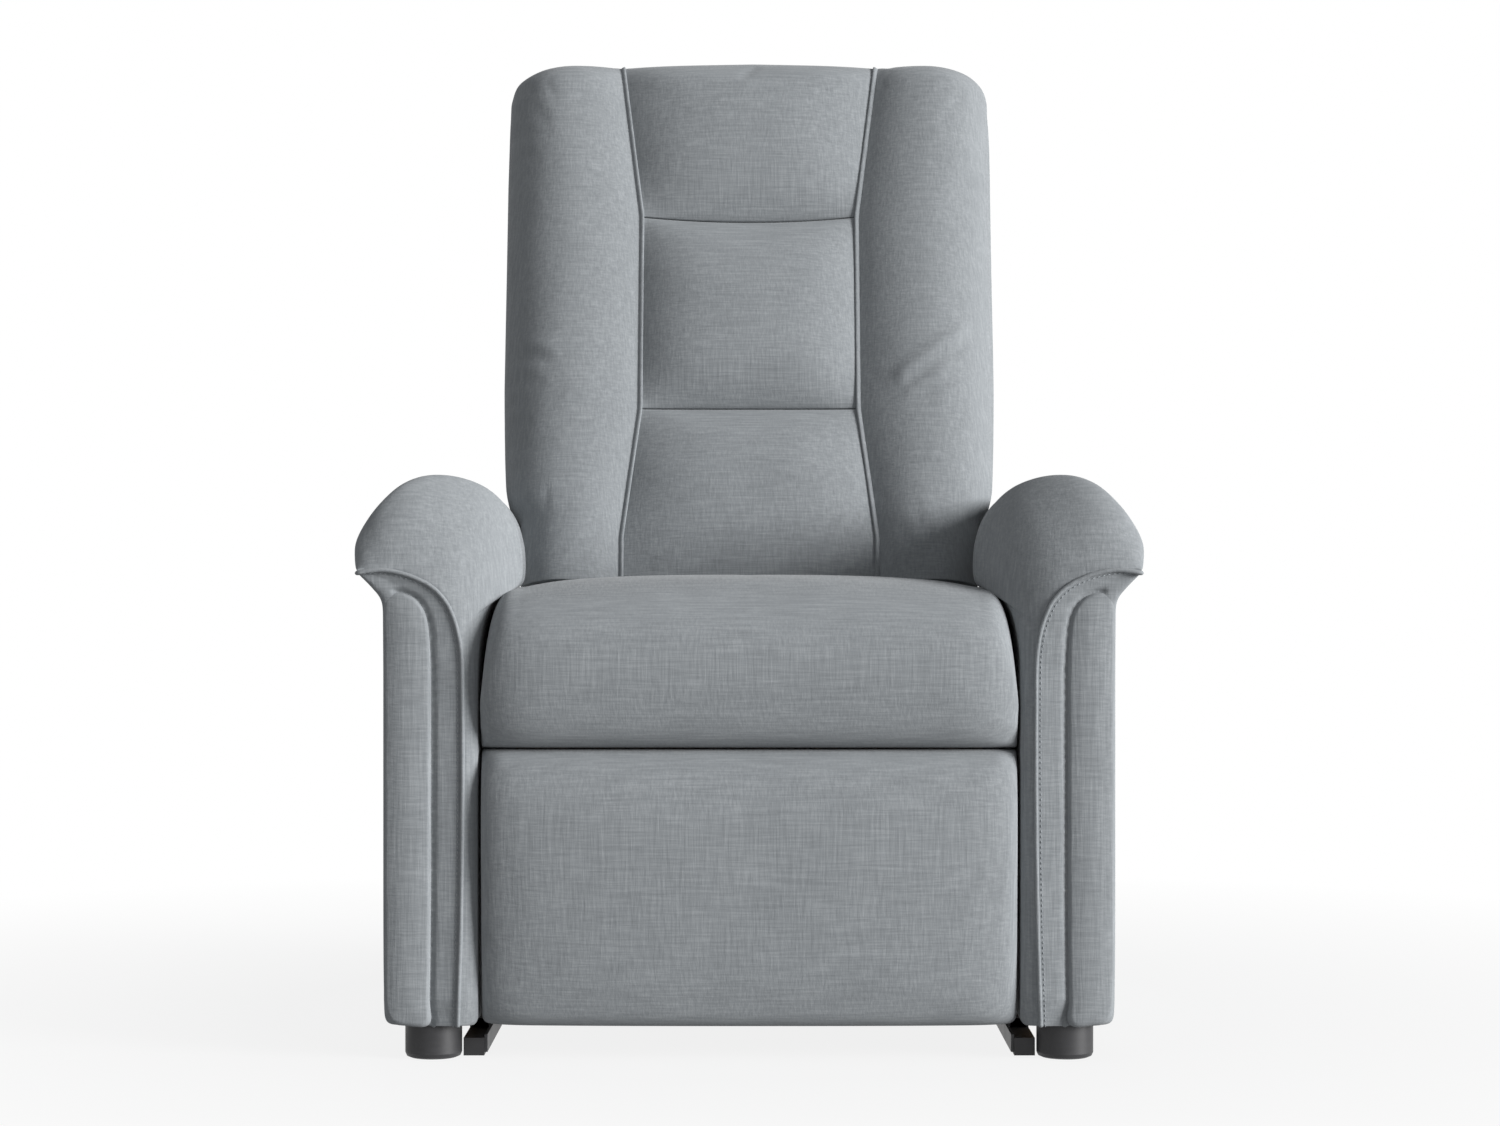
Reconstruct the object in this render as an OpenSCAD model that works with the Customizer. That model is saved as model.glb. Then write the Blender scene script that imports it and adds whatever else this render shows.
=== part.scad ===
// Lift recliner chair: upholstered seat, arms, divided back and footrest on a
// powered four-bar lift base. +Z is up, the front faces -Y, X runs across.
// Side-view points are written as [v, z]: v is the distance behind the front
// of the arms and z the height above the floor.

/* [Seat] */
// Width of the seat and footrest between the arms
seat_width = 515; // [440:5:620]
// Height of the seat crown above the floor
seat_height = 463; // [445:1:540]
// Distance that the seat front stands out before the arms
seat_overhang = 30; // [22:1:45]
// Depth of the seat cushion behind the front of the arms
seat_depth = 500; // [470:5:508]

/* [Arms] */
// Thickness of the arm body
arm_width = 91; // [80:1:130]
// Length of the arm body from front to rear
arm_length = 710; // [600:5:715]
// Height of the arm pad at the front
arm_height = 562; // [530:1:640]
// Height of the arm body below the pad
arm_body_top = 448; // [440:1:450]
// Distance that the pad stands out past the arm body
pad_overhang = 27; // [10:1:40]
// Thickness of the arm panels
panel_t = 8; // [5:0.5:10]

/* [Back] */
// Length of the back from its hinge to its top
back_length = 737; // [660:1:900]
// Width of the upper back
back_width = 556; // [500:2:560]
// Backward lean of the back when upright
back_lean = 14; // [8:1:18]
// Front face of the back cushions before the hinge line
back_front_t = 66; // [50:1:68]
// Height of the lower cross seam above the hinge
low_seam = 320; // [280:5:360]
// Height of the upper cross seam above the hinge
high_seam = 550; // [500:5:590]
// Half-width of the centre cushions at their narrowest
seam_half = 123; // [100:1:150]

/* [Feet] */
// Diameter of a foot
foot_d = 55; // [40:1:60]
// Height of a foot
foot_h = 34; // [34:1:40]

/* [Steel] */
// Thickness of links and side plates
plate_t = 3; // [2:0.5:3]
// Radius of the main pivot pins
main_pin_r = 6; // [4:0.5:7]
// Radius of the footrest pivot pins
small_pin_r = 5; // [3:0.5:6]
// Radial clearance of pins in their holes
pin_clear = 0.05; // [0.02:0.01:0.1]
// Radius of the lift torque tube
torque_r = 15; // [10:0.5:17]
// Wall of the steel tubes
tube_wall = 2; // [1.5:0.5:3]

/* [Timber] */
// Thickness of the frame rails
rail_t = 22; // [16:1:24]
// Thickness of the arm's plywood side
ply_t = 12; // [9:1:15]

/* [Hidden] */
$fn = 48;

// Colours
fabric_grey = "#8d9194";
black_steel = "#2b2c2e";
zinc = "#8f9498";
black_plastic = "#3a3a3c";
timber = "#c2a179";
webbing_tan = "#b9b09a";

// Pivots of the lift linkage, side view
lift_pivot = [220, 62];
guide_pivot = [272.9, 91.9];
lift_tip = [462.57, 122.48];
guide_tip = [590, 180];
torque_at = [372, 142];
lever_at = [244.4, 116.8];
// The lift motor's rear pivot, its direction and its closed length
lift_motor_at = [690, 60];
lift_motor_angle = 172.177;
lift_motor_length = 450.47;
// The eye of the rod is open by this much round the lever pin
lift_eye_play = 5;

// Pivots of the footrest linkage, side view
swing_pivot = [111.8, 274.1];
knee = [253.1, 98.5];
board_pivot = [62.2, 163.5];
tilt_root = [246.7, 132.7];
tilt_tip = [60, 202.9];
// The control link runs beside the swing link at this offset, so the extend link keeps its angle
control_offset = [-44, 9.4];
control_pivot = swing_pivot + control_offset;
control_tip = knee + control_offset;
// The drive crank on the swing axis
crank_r = 50;
crank_angle = -39.3;
crank_pin_r = 5;
slot_play = 1.75;
slot_rest = 151.85;
footrest_rod_z = 233;

// Hinge of the back and pivots of the recline motor, side view
back_hinge = [560, 330];
recline_motor_at = [320, 215];
recline_lever_at = [600, 235];
recline_angle = 3.445;
recline_length = 280.69;
recline_eye_play = 3.6;
recline_x = 95;

// Places across the chair, from the rails inwards
half_seat = seat_width / 2;
rail_x = half_seat - 0.5;
base_plate_x = rail_x - 3;
guide_x = base_plate_x - 4;
lift_x = guide_x - 4;
chassis_x = lift_x - 5;
swing_x = chassis_x - 5;
extend_x = swing_x - 5;
tilt_x = extend_x - 5;
bracket_x = tilt_x - 5;
frame_x = half_seat - 29.5;
arm_x = half_seat + 2.5;
arm_out = arm_x + arm_width;
pad_mid_x = (arm_x + arm_out) / 2 - 5.5;
pad_half = arm_out + pad_overhang - pad_mid_x;

// Heights and depths
seat_frame_z = 290;
seat_frame_h = 36;
spring_z = seat_frame_z + seat_frame_h + 1;
wire = 3;
clip_top = spring_z + 5;
cushion_base = clip_top + 0.5;
crease_z = 302;
board_v = 36;
board_t = 12;
panel_low = 33;
panel_high = 298;
rear_panel_t = 12;
post_front = -30;
post_depth = 40;
post_back = post_front - post_depth;
webbing_t = 3;
cushion_back = -post_front - webbing_t - 0.3;
rear_face = post_back - rear_panel_t;
post_high = back_length - 45;
wrap_from = post_high + 5;
rear_panel_top = wrap_from - 0.5;
// Gap between boards that are glued and screwed to each other
board_gap = 0.1;
back_most = back_hinge[0] + rear_panel_top * sin(back_lean) - rear_face * cos(back_lean);
mid_depth = (back_most - seat_overhang) / 2;
half_back = back_width / 2;
low_half = half_seat - 1.5;
arm_bolts = [[350, 220], [350, 290], [500, 215], [520, 285]];
seat_bolts = [[200, 298], [480, 298]];
bolt_r = 4;
bolt_clear = 0.05;

// ---- Helpers ----

// Puts a model drawn in v and z into the part's frame
module placed() { translate([0, -mid_depth, 0]) children(); }

// Draws on the right (side = 1) or mirrored on the left (side = -1)
module on_side(side) { mirror([side < 0 ? 1 : 0, 0, 0]) children(); }

// Draws on both sides
module both_sides() {
    children();
    mirror([1, 0, 0]) children();
}

// Raises a [v, z] outline along X from x to x + t
module plate(x, t = plate_t) { translate([x, 0, 0]) rotate([90, 0, 90]) linear_extrude(t) children(); }

// A round bar along X, centred on a [v, z] point
module x_bar(p, r, x0, x1) { translate([x0, p[0], p[1]]) rotate([0, 90, 0]) cylinder(r = r, h = x1 - x0); }

// A box given by its two corners
module box(lo, hi) { translate(lo) cube(hi - lo); }

// A box-section tube along X
module x_box_tube(x0, x1, lo, hi) {
    difference() {
        box([x0, lo[0], lo[1]], [x1, hi[0], hi[1]]);
        box([x0 - 1, lo[0] + tube_wall, lo[1] + tube_wall], [x1 + 1, hi[0] - tube_wall, hi[1] - tube_wall]);
    }
}

// A straight bar between two side-view points, with round ends
module bar_2d(a, b, w, end_r) {
    d = b - a;
    translate(a) rotate(atan2(d[1], d[0])) translate([0, -w / 2]) square([norm(d), w]);
    for (p = [a, b]) translate(p) circle(r = end_r);
}

// Round holes in a side-view outline
module holes_2d(points, r) { for (p = points) translate(p) circle(r = r); }

// Draws in the back's own frame: X across, Y rearwards, Z up the back from the hinge
module in_back() { translate([0, back_hinge[0], back_hinge[1]]) rotate([-back_lean, 0, 0]) children(); }

// Draws along a line from a side-view point: X across, Y upright to the line, Z along it
module along(p, angle, x = 0) { translate([x, p[0], p[1]]) rotate([angle - 90, 0, 0]) children(); }

// A closed skin through equal rings of points; each end is a fan from the ring's first point
module loft(rings) {
    n = len(rings[0]);
    m = len(rings);
    points = [for (ring = rings) for (p = ring) p];
    sides = [for (i = [0:m - 2]) for (j = [0:n - 1]) for (k = [0, 1])
        k == 0 ? [i * n + j, i * n + (j + 1) % n, (i + 1) * n + j]
               : [i * n + (j + 1) % n, (i + 1) * n + (j + 1) % n, (i + 1) * n + j]];
    first = [for (j = [1:n - 2]) [0, j + 1, j]];
    last = [for (j = [1:n - 2]) [(m - 1) * n, (m - 1) * n + j, (m - 1) * n + j + 1]];
    polyhedron(points, concat(sides, first, last));
}

// Power that keeps the sign
function spow(x, p) = sign(x) * pow(abs(x), p);
// Straight blend from a to b as x runs from x0 to x1
function ramp(x, x0, x1, a, b) = x <= x0 ? a : x >= x1 ? b : a + (b - a) * (x - x0) / (x1 - x0);
// Smooth blend from a to b as x runs from x0 to x1
function ease(x, x0, x1, a, b) = a + (b - a) * (1 - cos(180 * ramp(x, x0, x1, 0, 1))) / 2;
// Quarter-round rise from 0 at the edge to 1 at distance r inside it
function edge_round(d, r) = d >= r ? 1 : d <= 0 ? 0 : sqrt(1 - pow(1 - d / r, 2));
// Steps from -1 to 1, closer together at the ends
function spread(n) = [for (i = [0:n]) sin(90 * (2 * i / n - 1))];

// ---- Base ----

base_front = 117;
base_rear = 800;
rail_w = 20;
rail_low = 3;
rail_high = 28;
cross_rails = [330, 700, 775];
cross_w = 25;
ear_x = 24;

module base_frame() {
    color(black_steel) placed() {
        both_sides() difference() {
            box([rail_x, base_front, rail_low], [rail_x + rail_w, base_rear, rail_high]);
            box([rail_x + tube_wall, base_front - 1, rail_low + tube_wall],
                [rail_x + rail_w - tube_wall, base_rear + 1, rail_high - tube_wall]);
        }
        for (v = cross_rails)
            x_box_tube(-rail_x + board_gap, rail_x - board_gap, [v, rail_low], [v + cross_w, rail_high]);
        both_sides() plate(ear_x, 5) difference() {
            union() {
                polygon([[700, rail_high], [725, rail_high], [702, 62], [682, 46]]);
                translate(lift_motor_at) circle(r = 14);
            }
            holes_2d([lift_motor_at], main_pin_r + pin_clear);
        }
    }
}

module base_side_plate(side) {
    color(black_steel) placed() on_side(side) plate(base_plate_x) difference() {
        union() {
            polygon([[45, 3], [cross_rails[0] - 2, 3], [cross_rails[0] - 2, 36], [292, 100],
                     [255, 100], [206, 74], [186, 40], [120, 20], [45, 20]]);
            translate(lift_pivot) circle(r = 18);
            translate(guide_pivot) circle(r = 18);
        }
        holes_2d([lift_pivot, guide_pivot], main_pin_r + pin_clear);
    }
}
module base_side_plate_left() { base_side_plate(-1); }
module base_side_plate_right() { base_side_plate(1); }

module base_glides() {
    color(black_plastic) placed() both_sides() {
        box([rail_x, 42, 0], [rail_x + rail_w, base_front, 17]);
        box([rail_x, 730, 0], [rail_x + rail_w, 790, rail_low]);
        box([rail_x, 340, 0], [rail_x + rail_w, 400, rail_low]);
    }
}

module base_pivot_pins() {
    color(zinc) placed() {
        both_sides() {
            x_bar(lift_pivot, main_pin_r, lift_x, rail_x);
            x_bar(lift_pivot, main_pin_r + 3, lift_x + plate_t + 0.3, base_plate_x);
            x_bar(lift_pivot, main_pin_r + 4, rail_x, rail_x + 2);
            x_bar(guide_pivot, main_pin_r, guide_x, rail_x);
            x_bar(guide_pivot, main_pin_r + 3, guide_x + plate_t + 0.2, base_plate_x);
            x_bar(guide_pivot, main_pin_r + 4, rail_x, rail_x + 2);
        }
        x_bar(lift_motor_at, main_pin_r, -ear_x - 8, ear_x + 8);
    }
}

// ---- Lift arms ----

module lift_link(side) {
    color(black_steel) placed() on_side(side) plate(lift_x) difference() {
        union() {
            bar_2d(lift_pivot, lift_tip, 26, 15);
            polygon([[250, 62], [352, 152], [392, 152], [440, 122]]);
            translate(torque_at) circle(r = torque_r + 7);
        }
        holes_2d([lift_pivot, lift_tip], main_pin_r + pin_clear);
    }
}
module lift_link_left() { lift_link(-1); }
module lift_link_right() { lift_link(1); }

lever_x = 11;

module lift_torque_tube() {
    color(black_steel) placed() {
        difference() {
            x_bar(torque_at, torque_r, -lift_x, lift_x);
            x_bar(torque_at, torque_r - tube_wall, -lift_x - 1, lift_x + 1);
        }
        both_sides() plate(lever_x, 4) difference() {
            bar_2d(lever_at, torque_at, 24, 13);
            holes_2d([lever_at], main_pin_r + pin_clear);
            translate(torque_at) circle(r = torque_r - 0.5);
        }
    }
}

module lift_lever_pin() {
    color(zinc) placed() {
        x_bar(lever_at, main_pin_r, -lever_x - 7, lever_x + 7);
        both_sides() x_bar(lever_at, main_pin_r + 3, lever_x + 4.2, lever_x + 7);
    }
}

module guide_link(side) {
    color(black_steel) placed() on_side(side) plate(guide_x) difference() {
        bar_2d(guide_pivot, guide_tip, 22, 14);
        holes_2d([guide_pivot], main_pin_r + pin_clear);
        holes_2d([guide_tip], main_pin_r + 1.3);
    }
}
module guide_link_left() { guide_link(-1); }
module guide_link_right() { guide_link(1); }

// ---- Lift motor ----

lift_rod_r = 10;
lift_tube_end = 250;

module lift_motor() {
    color(black_plastic) placed() along(lift_motor_at, lift_motor_angle) {
        difference() {
            union() {
                cylinder(r = 18, h = lift_tube_end);
                translate([-20, -24, -22]) cube([40, 48, 70]);
                translate([20, -22, 20]) cube([66, 44, 44]);
                translate([53, 0, 64]) cylinder(r = 27, h = 110);
            }
            translate([0, 0, 90]) cylinder(r = lift_rod_r + pin_clear, h = lift_tube_end);
            rotate([0, 90, 0]) translate([0, 0, -100]) cylinder(r = main_pin_r + pin_clear, h = 200);
        }
    }
}

module lift_rod() {
    eye_r = main_pin_r + lift_eye_play;
    color(zinc) placed() along(lift_motor_at, lift_motor_angle) difference() {
        union() {
            translate([0, 0, 175]) cylinder(r = lift_rod_r, h = lift_motor_length - 175 - eye_r - 2);
            translate([-9, 0, lift_motor_length]) rotate([0, 90, 0]) cylinder(r = eye_r + 7, h = 18);
        }
        translate([-10, 0, lift_motor_length]) rotate([0, 90, 0]) cylinder(r = eye_r, h = 20);
    }
}

// ---- Chassis ----

module chassis_plate(side) {
    color(black_steel) placed() on_side(side) plate(chassis_x) difference() {
        union() {
            polygon([[58, 214], [90, 206], [150, 212], [300, 178], [420, 178], [450, 118],
                     [475, 118], [520, 160], [612, 160], [612, 205], [582, 330], [538, 330],
                     [524, 306], [74, 306], [66, 300], [54, 296], [54, 262]]);
            translate(lift_tip) circle(r = 16);
            translate(back_hinge) circle(r = 22);
        }
        holes_2d([lift_tip, guide_tip, swing_pivot, control_pivot, back_hinge], main_pin_r + pin_clear);
        holes_2d(concat(arm_bolts, seat_bolts), bolt_r + bolt_clear);
    }
}
module chassis_plate_left() { chassis_plate(-1); }
module chassis_plate_right() { chassis_plate(1); }

tube_low = 255;
tube_high = 285;
mid_tube_v = 300;
rear_tube_v = 440;
tube_w = 30;

module chassis_cross_tubes() {
    color(black_steel) placed() {
        for (v = [mid_tube_v, rear_tube_v])
            x_box_tube(-chassis_x, chassis_x, [v, tube_low], [v + tube_w, tube_high]);
        for (x = [recline_x - 23, recline_x + 19]) plate(x, 4) difference() {
            union() {
                polygon([[mid_tube_v, tube_low], [mid_tube_v + tube_w, tube_low], [332, 215], [308, 215]]);
                translate(recline_motor_at) circle(r = 12);
            }
            holes_2d([recline_motor_at], main_pin_r + pin_clear);
        }
    }
}

module chassis_pivot_pins() {
    color(zinc) placed() {
        both_sides() {
            x_bar(lift_tip, main_pin_r, chassis_x, lift_x + plate_t);
            x_bar(lift_tip, main_pin_r + 3, chassis_x + plate_t, lift_x - 0.3);
            x_bar(lift_tip, main_pin_r + 4, chassis_x - 2.5, chassis_x);
            x_bar(guide_tip, main_pin_r, chassis_x, guide_x + plate_t);
            x_bar(guide_tip, main_pin_r + 3, chassis_x + plate_t, guide_x - 0.3);
            x_bar(guide_tip, main_pin_r + 4, chassis_x - 2.5, chassis_x);
            for (p = [swing_pivot, control_pivot]) {
                x_bar(p, main_pin_r, swing_x, chassis_x + plate_t);
                x_bar(p, main_pin_r + 3, chassis_x + plate_t, chassis_x + plate_t + 1.6);
            }
            x_bar(back_hinge, main_pin_r, swing_x - 2, chassis_x + plate_t);
            x_bar(back_hinge, main_pin_r + 4, chassis_x + plate_t, chassis_x + plate_t + 2);
        }
        x_bar(recline_motor_at, main_pin_r, recline_x - 26, recline_x + 26);
    }
}

module chassis_bolts() {
    color(zinc) placed() both_sides() {
        for (p = arm_bolts) {
            x_bar(p, bolt_r, chassis_x, arm_x + panel_t + ply_t);
            x_bar(p, bolt_r + 4, chassis_x - 2.5, chassis_x);
            x_bar(p, bolt_r + 5, chassis_x + plate_t, arm_x);
            x_bar(p, bolt_r + 4, arm_x + panel_t + ply_t, arm_x + panel_t + ply_t + 5);
        }
        for (p = seat_bolts) {
            x_bar(p, bolt_r, frame_x, chassis_x + plate_t);
            x_bar(p, bolt_r + 4, frame_x, chassis_x);
            x_bar(p, bolt_r + 3, chassis_x + plate_t, chassis_x + plate_t + 1.8);
        }
    }
}

// ---- Seat ----

seat_front_v = 66;
seat_rear_v = 545;
seat_front_w = 28;
seat_rear_w = 25;

module seat_frame() {
    lo = seat_frame_z;
    hi = seat_frame_z + seat_frame_h;
    color(timber) placed() {
        both_sides() box([frame_x - rail_t, seat_front_v + seat_front_w + board_gap, lo],
                         [frame_x, seat_rear_v - seat_rear_w - board_gap, hi]);
        box([-frame_x, seat_front_v, lo], [frame_x, seat_front_v + seat_front_w, hi]);
        box([-frame_x, seat_rear_v - seat_rear_w, lo], [frame_x, seat_rear_v, hi]);
    }
}

spring_start = 82;
spring_end = 530;
spring_xs = [for (i = [-2:2]) i * (frame_x - rail_t - 46) / 2];
spring_waves = 9;
spring_reach = 17;

// A sinuous flat wave of even width along Y
module wave_2d(length, waves, reach, w) {
    n = waves * 8;
    function slope(i) = reach * cos(360 * waves * i / n) * 2 * PI * waves / length;
    mid = [for (i = [0:n]) [reach * sin(360 * waves * i / n), length * i / n]];
    side = [for (i = [0:n]) [1, -slope(i)] / norm([1, slope(i)]) * w / 2];
    polygon(concat([for (i = [0:n]) mid[i] + side[i]], [for (i = [n:-1:0]) mid[i] - side[i]]));
}

module seat_springs() {
    color(zinc) placed() for (x = spring_xs)
        translate([x, spring_start + wire / 2, spring_z]) linear_extrude(wire)
            wave_2d(spring_end - spring_start - wire, spring_waves, spring_reach, wire);
}

module seat_spring_clips() {
    z = clip_top - 6;
    color(black_steel) placed() for (x = spring_xs) {
        box([x - 12, spring_start - 10, z], [x + 12, spring_start, z + 6]);
        box([x - 12, spring_end, z], [x + 12, spring_end + 10, z + 6]);
    }
}

// Side-view outline of the seat cushion at full height, starting at the inner corner of its lip
function seat_outline() = let (f = -seat_overhang, h = seat_height, d = seat_depth) [
    [62, cushion_base], [60, crease_z], [f + 26, crease_z], [f + 9, crease_z + 8], [f + 2, crease_z + 34],
    [f, crease_z + 72], [f + 3, h - 52], [f + 11, h - 32], [f + 25, h - 15], [f + 46, h - 5],
    [f + 82, h - 1], [f + 150, h], [240, h - 2], [380, h - 4], [d - 40, h - 8],
    [d - 12, h - 18], [d, h - 40], [d, cushion_base + 12], [d - 8, cushion_base]];

// Height of the seat at a distance x from its middle: a crown that rolls down at the arms
function seat_top(x) = let (a = abs(x), inner = pad_mid_x - pad_half - 4)
    a < inner ? seat_height - 9 * pow(a / inner, 3)
              : arm_body_top - 6 - 96 * pow((a - inner) / (half_seat - inner), 2.2);

module seat_cushion() {
    inner = pad_mid_x - pad_half - 4;
    xs_half = [for (k = [0, 0.25, 0.5, 0.7, 0.85, 0.95, 1]) k * (inner - 0.5)];
    xs_edge = [for (k = [0.08, 0.35, 0.6, 0.8, 0.93, 1]) inner + k * (half_seat - inner)];
    right = concat(xs_half, xs_edge);
    xs = concat([for (i = [len(right) - 1:-1:1]) -right[i]], right);
    outline = seat_outline();
    color(fabric_grey) placed() loft([for (x = xs) let (
        top = seat_top(x),
        rise = (top - cushion_base) / (seat_height - cushion_base),
        pull = 10 * pow(abs(x) / half_seat, 6))
        [for (p = outline) [x,
            p[0] < 20 ? p[0] + pull * (20 - p[0]) / 50 : p[0],
            p[1] > cushion_base ? cushion_base + (p[1] - cushion_base) * rise : p[1]]]]);
}

// ---- Arms ----

module arm_frame(side) {
    in = arm_x + panel_t;
    out = arm_out - panel_t;
    low = foot_h;
    rear = arm_length - panel_t - 2;
    post = 32;
    inner = in + ply_t + board_gap;
    color(timber) placed() on_side(side) {
        difference() {
            box([in, 20, low], [in + ply_t, rear, arm_body_top]);
            for (p = arm_bolts) x_bar(p, bolt_r + bolt_clear, in - 1, in + ply_t + 1);
        }
        box([inner, 20, low], [out, 20 + post, arm_body_top]);
        box([inner, rear - post, low], [out, rear, arm_body_top]);
        for (z = [low, arm_body_top - rail_t])
            box([inner, 20 + post + board_gap, z], [out, rear - post - board_gap, z + rail_t]);
    }
}
module arm_frame_left() { arm_frame(-1); }
module arm_frame_right() { arm_frame(1); }

module arm_inner(side) {
    color(fabric_grey) placed() on_side(side) difference() {
        box([arm_x, 20, foot_h], [arm_x + panel_t, arm_length - panel_t, arm_body_top]);
        for (p = arm_bolts) x_bar(p, bolt_r + bolt_clear, arm_x - 1, arm_x + panel_t + 1);
    }
}
module arm_inner_left() { arm_inner(-1); }
module arm_inner_right() { arm_inner(1); }

module arm_outer(side) {
    color(fabric_grey) placed() on_side(side) {
        box([arm_out - panel_t, 20, foot_h], [arm_out, arm_length, arm_body_top]);
        box([arm_x, arm_length - panel_t, foot_h], [arm_out, arm_length, arm_body_top]);
    }
}
module arm_outer_left() { arm_outer(-1); }
module arm_outer_right() { arm_outer(1); }

module arm_front(side) {
    color(fabric_grey) placed() on_side(side) difference() {
        box([arm_x, 0, foot_h], [arm_out, 20, arm_body_top]);
        translate([arm_x - 8, -1, foot_h - 8]) rotate([0, -45, 0]) cube([8, 30, 12]);
    }
}
module arm_front_left() { arm_front(-1); }
module arm_front_right() { arm_front(1); }

pad_front = -12;
pad_rear = arm_length - 10;
pad_centre_z = arm_body_top + 42;
pad_slope = 0.025;
rear_inner_x = max(half_back, low_half) + 3;

// Inner reach of the arm pad from its middle line: full at the front, drawn in beside the back
function pad_inner(v) = ease(v, 300, 500, pad_half, pad_mid_x - rear_inner_x);
// One ring across the arm pad: a domed top over a squarer underside
function pad_ring(v, n) = let (
    near = edge_round(v - pad_front + 1.5, 26),
    far = edge_round(pad_rear + 1.5 - v, 26),
    k = 0.42 + 0.58 * min(near, far),
    up = arm_height - pad_centre_z - pad_slope * max(v, 0),
    down = pad_centre_z - arm_body_top)
    [for (i = [0:n - 1]) let (
        a = 360 * i / n,
        c = sin(a) < -0.001 ? spow(cos(a), 0.5) : cos(a),
        s = sin(a) < -0.001 ? spow(sin(a), 0.5) : sin(a))
        [pad_mid_x + k * c * (c > 0 ? pad_half : pad_inner(v)),
         v,
         pad_centre_z + (s > 0 ? k * up : down * (0.3 + 0.7 * k)) * s]];

module arm_pad(side) {
    front_steps = [0, 2, 6, 12, 20, 27];
    middle = [for (k = [0:6]) 60 + k * (pad_rear - 120) / 6];
    vs = concat([for (d = front_steps) pad_front + d], middle,
                [for (i = [len(front_steps) - 1:-1:0]) pad_rear - front_steps[i]]);
    color(fabric_grey) placed() on_side(side) loft([for (v = vs) pad_ring(v, 22)]);
}
module arm_pad_left() { arm_pad(-1); }
module arm_pad_right() { arm_pad(1); }

foot_x = arm_x + 45.5;
foot_vs = [38, 660];

module arm_feet() {
    r = foot_d / 2;
    color(black_plastic) placed() both_sides() for (v = foot_vs)
        translate([foot_x, v, 0]) rotate_extrude()
            polygon([[0, 0], [r - 5, 0], [r - 1.5, 1.5], [r, 5], [r, foot_h], [0, foot_h]]);
}

// ---- Power box, with the inlet of the mains lead and the handset socket ----

module power_box() {
    lo = [-190, 395, tube_low - 50];
    hi = [-90, 480, tube_low];
    color(black_plastic) placed() difference() {
        box(lo, hi);
        translate([-160, 395, tube_low - 26]) rotate([90, 0, 0]) cylinder(r = 9, h = 7, center = true);
        translate([-120, 480, tube_low - 26]) rotate([90, 0, 0]) cylinder(r = 7, h = 7, center = true);
    }
}

// ---- Footrest motor ----

footrest_rod_r = 8;
footrest_tube_front = 235;

module footrest_motor() {
    z = footrest_rod_z;
    color(black_plastic) placed() difference() {
        union() {
            translate([0, footrest_tube_front, z]) rotate([-90, 0, 0]) cylinder(r = 16, h = 190);
            box([-20, 420, z - 20], [20, 480, tube_low]);
            box([-86, 430, z - 20], [-20, 480, z + 18]);
            translate([-56, 330, z - 2]) rotate([-90, 0, 0]) cylinder(r = 18, h = 100);
            box([-10, mid_tube_v + 4, z], [10, mid_tube_v + 26, tube_low]);
        }
        translate([0, footrest_tube_front - 1, z]) rotate([-90, 0, 0])
            cylinder(r = footrest_rod_r + pin_clear, h = 150);
    }
}

module footrest_rod() {
    z = footrest_rod_z;
    half_slot = crank_pin_r + slot_play;
    color(zinc) placed() {
        difference() {
            box([-6, slot_rest - half_slot - 9, 210], [6, slot_rest + half_slot + 9, 256]);
            box([-7, slot_rest - half_slot, 217], [7, slot_rest + half_slot, 249.5]);
        }
        translate([0, slot_rest + half_slot + 8, z]) rotate([-90, 0, 0])
            cylinder(r = footrest_rod_r, h = 345 - slot_rest - half_slot - 8);
    }
}

// ---- Recline motor ----

recline_tube_end = 170;
recline_rod_r = 8;

module recline_motor() {
    color(black_plastic) placed() along(recline_motor_at, recline_angle, recline_x) difference() {
        union() {
            cylinder(r = 15, h = recline_tube_end);
            translate([-17, -17, -17]) cube([34, 34, 50]);
            translate([17, -17, 16]) cube([48, 34, 34]);
            translate([44, 0, 50]) cylinder(r = 19, h = 90);
        }
        translate([0, 0, 35]) cylinder(r = recline_rod_r + pin_clear, h = recline_tube_end);
        rotate([0, 90, 0]) translate([0, 0, -40]) cylinder(r = main_pin_r + pin_clear, h = 140);
    }
}

module recline_rod() {
    eye_r = main_pin_r + recline_eye_play;
    color(zinc) placed() along(recline_motor_at, recline_angle, recline_x) difference() {
        union() {
            translate([0, 0, 110]) cylinder(r = recline_rod_r, h = recline_length - 110 - eye_r - 1);
            translate([-7, 0, recline_length]) rotate([0, 90, 0]) cylinder(r = eye_r + 5, h = 14);
        }
        translate([-8, 0, recline_length]) rotate([0, 90, 0]) cylinder(r = eye_r, h = 16);
    }
}

// ---- Back ----

post_low = -20;

module back_frame() {
    color(timber) placed() in_back() {
        both_sides() box([frame_x - rail_t, -post_front, post_low], [frame_x, -post_back, post_high]);
        for (s = [10, 380, post_high - 40])
            box([-frame_x + rail_t + board_gap, -post_front, s],
                [frame_x - rail_t - board_gap, -post_back, s + 40]);
    }
}

module back_webbing() {
    color(webbing_tan) placed() in_back() for (s = [90, 210, 330, 450, 570])
        box([-frame_x, -post_front - webbing_t, s], [frame_x, -post_front, s + 50]);
}

module back_rear_panel() {
    color(fabric_grey) placed() in_back()
        box([-frame_x, -post_back, -40], [frame_x, -rear_face, rear_panel_top]);
}

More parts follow.
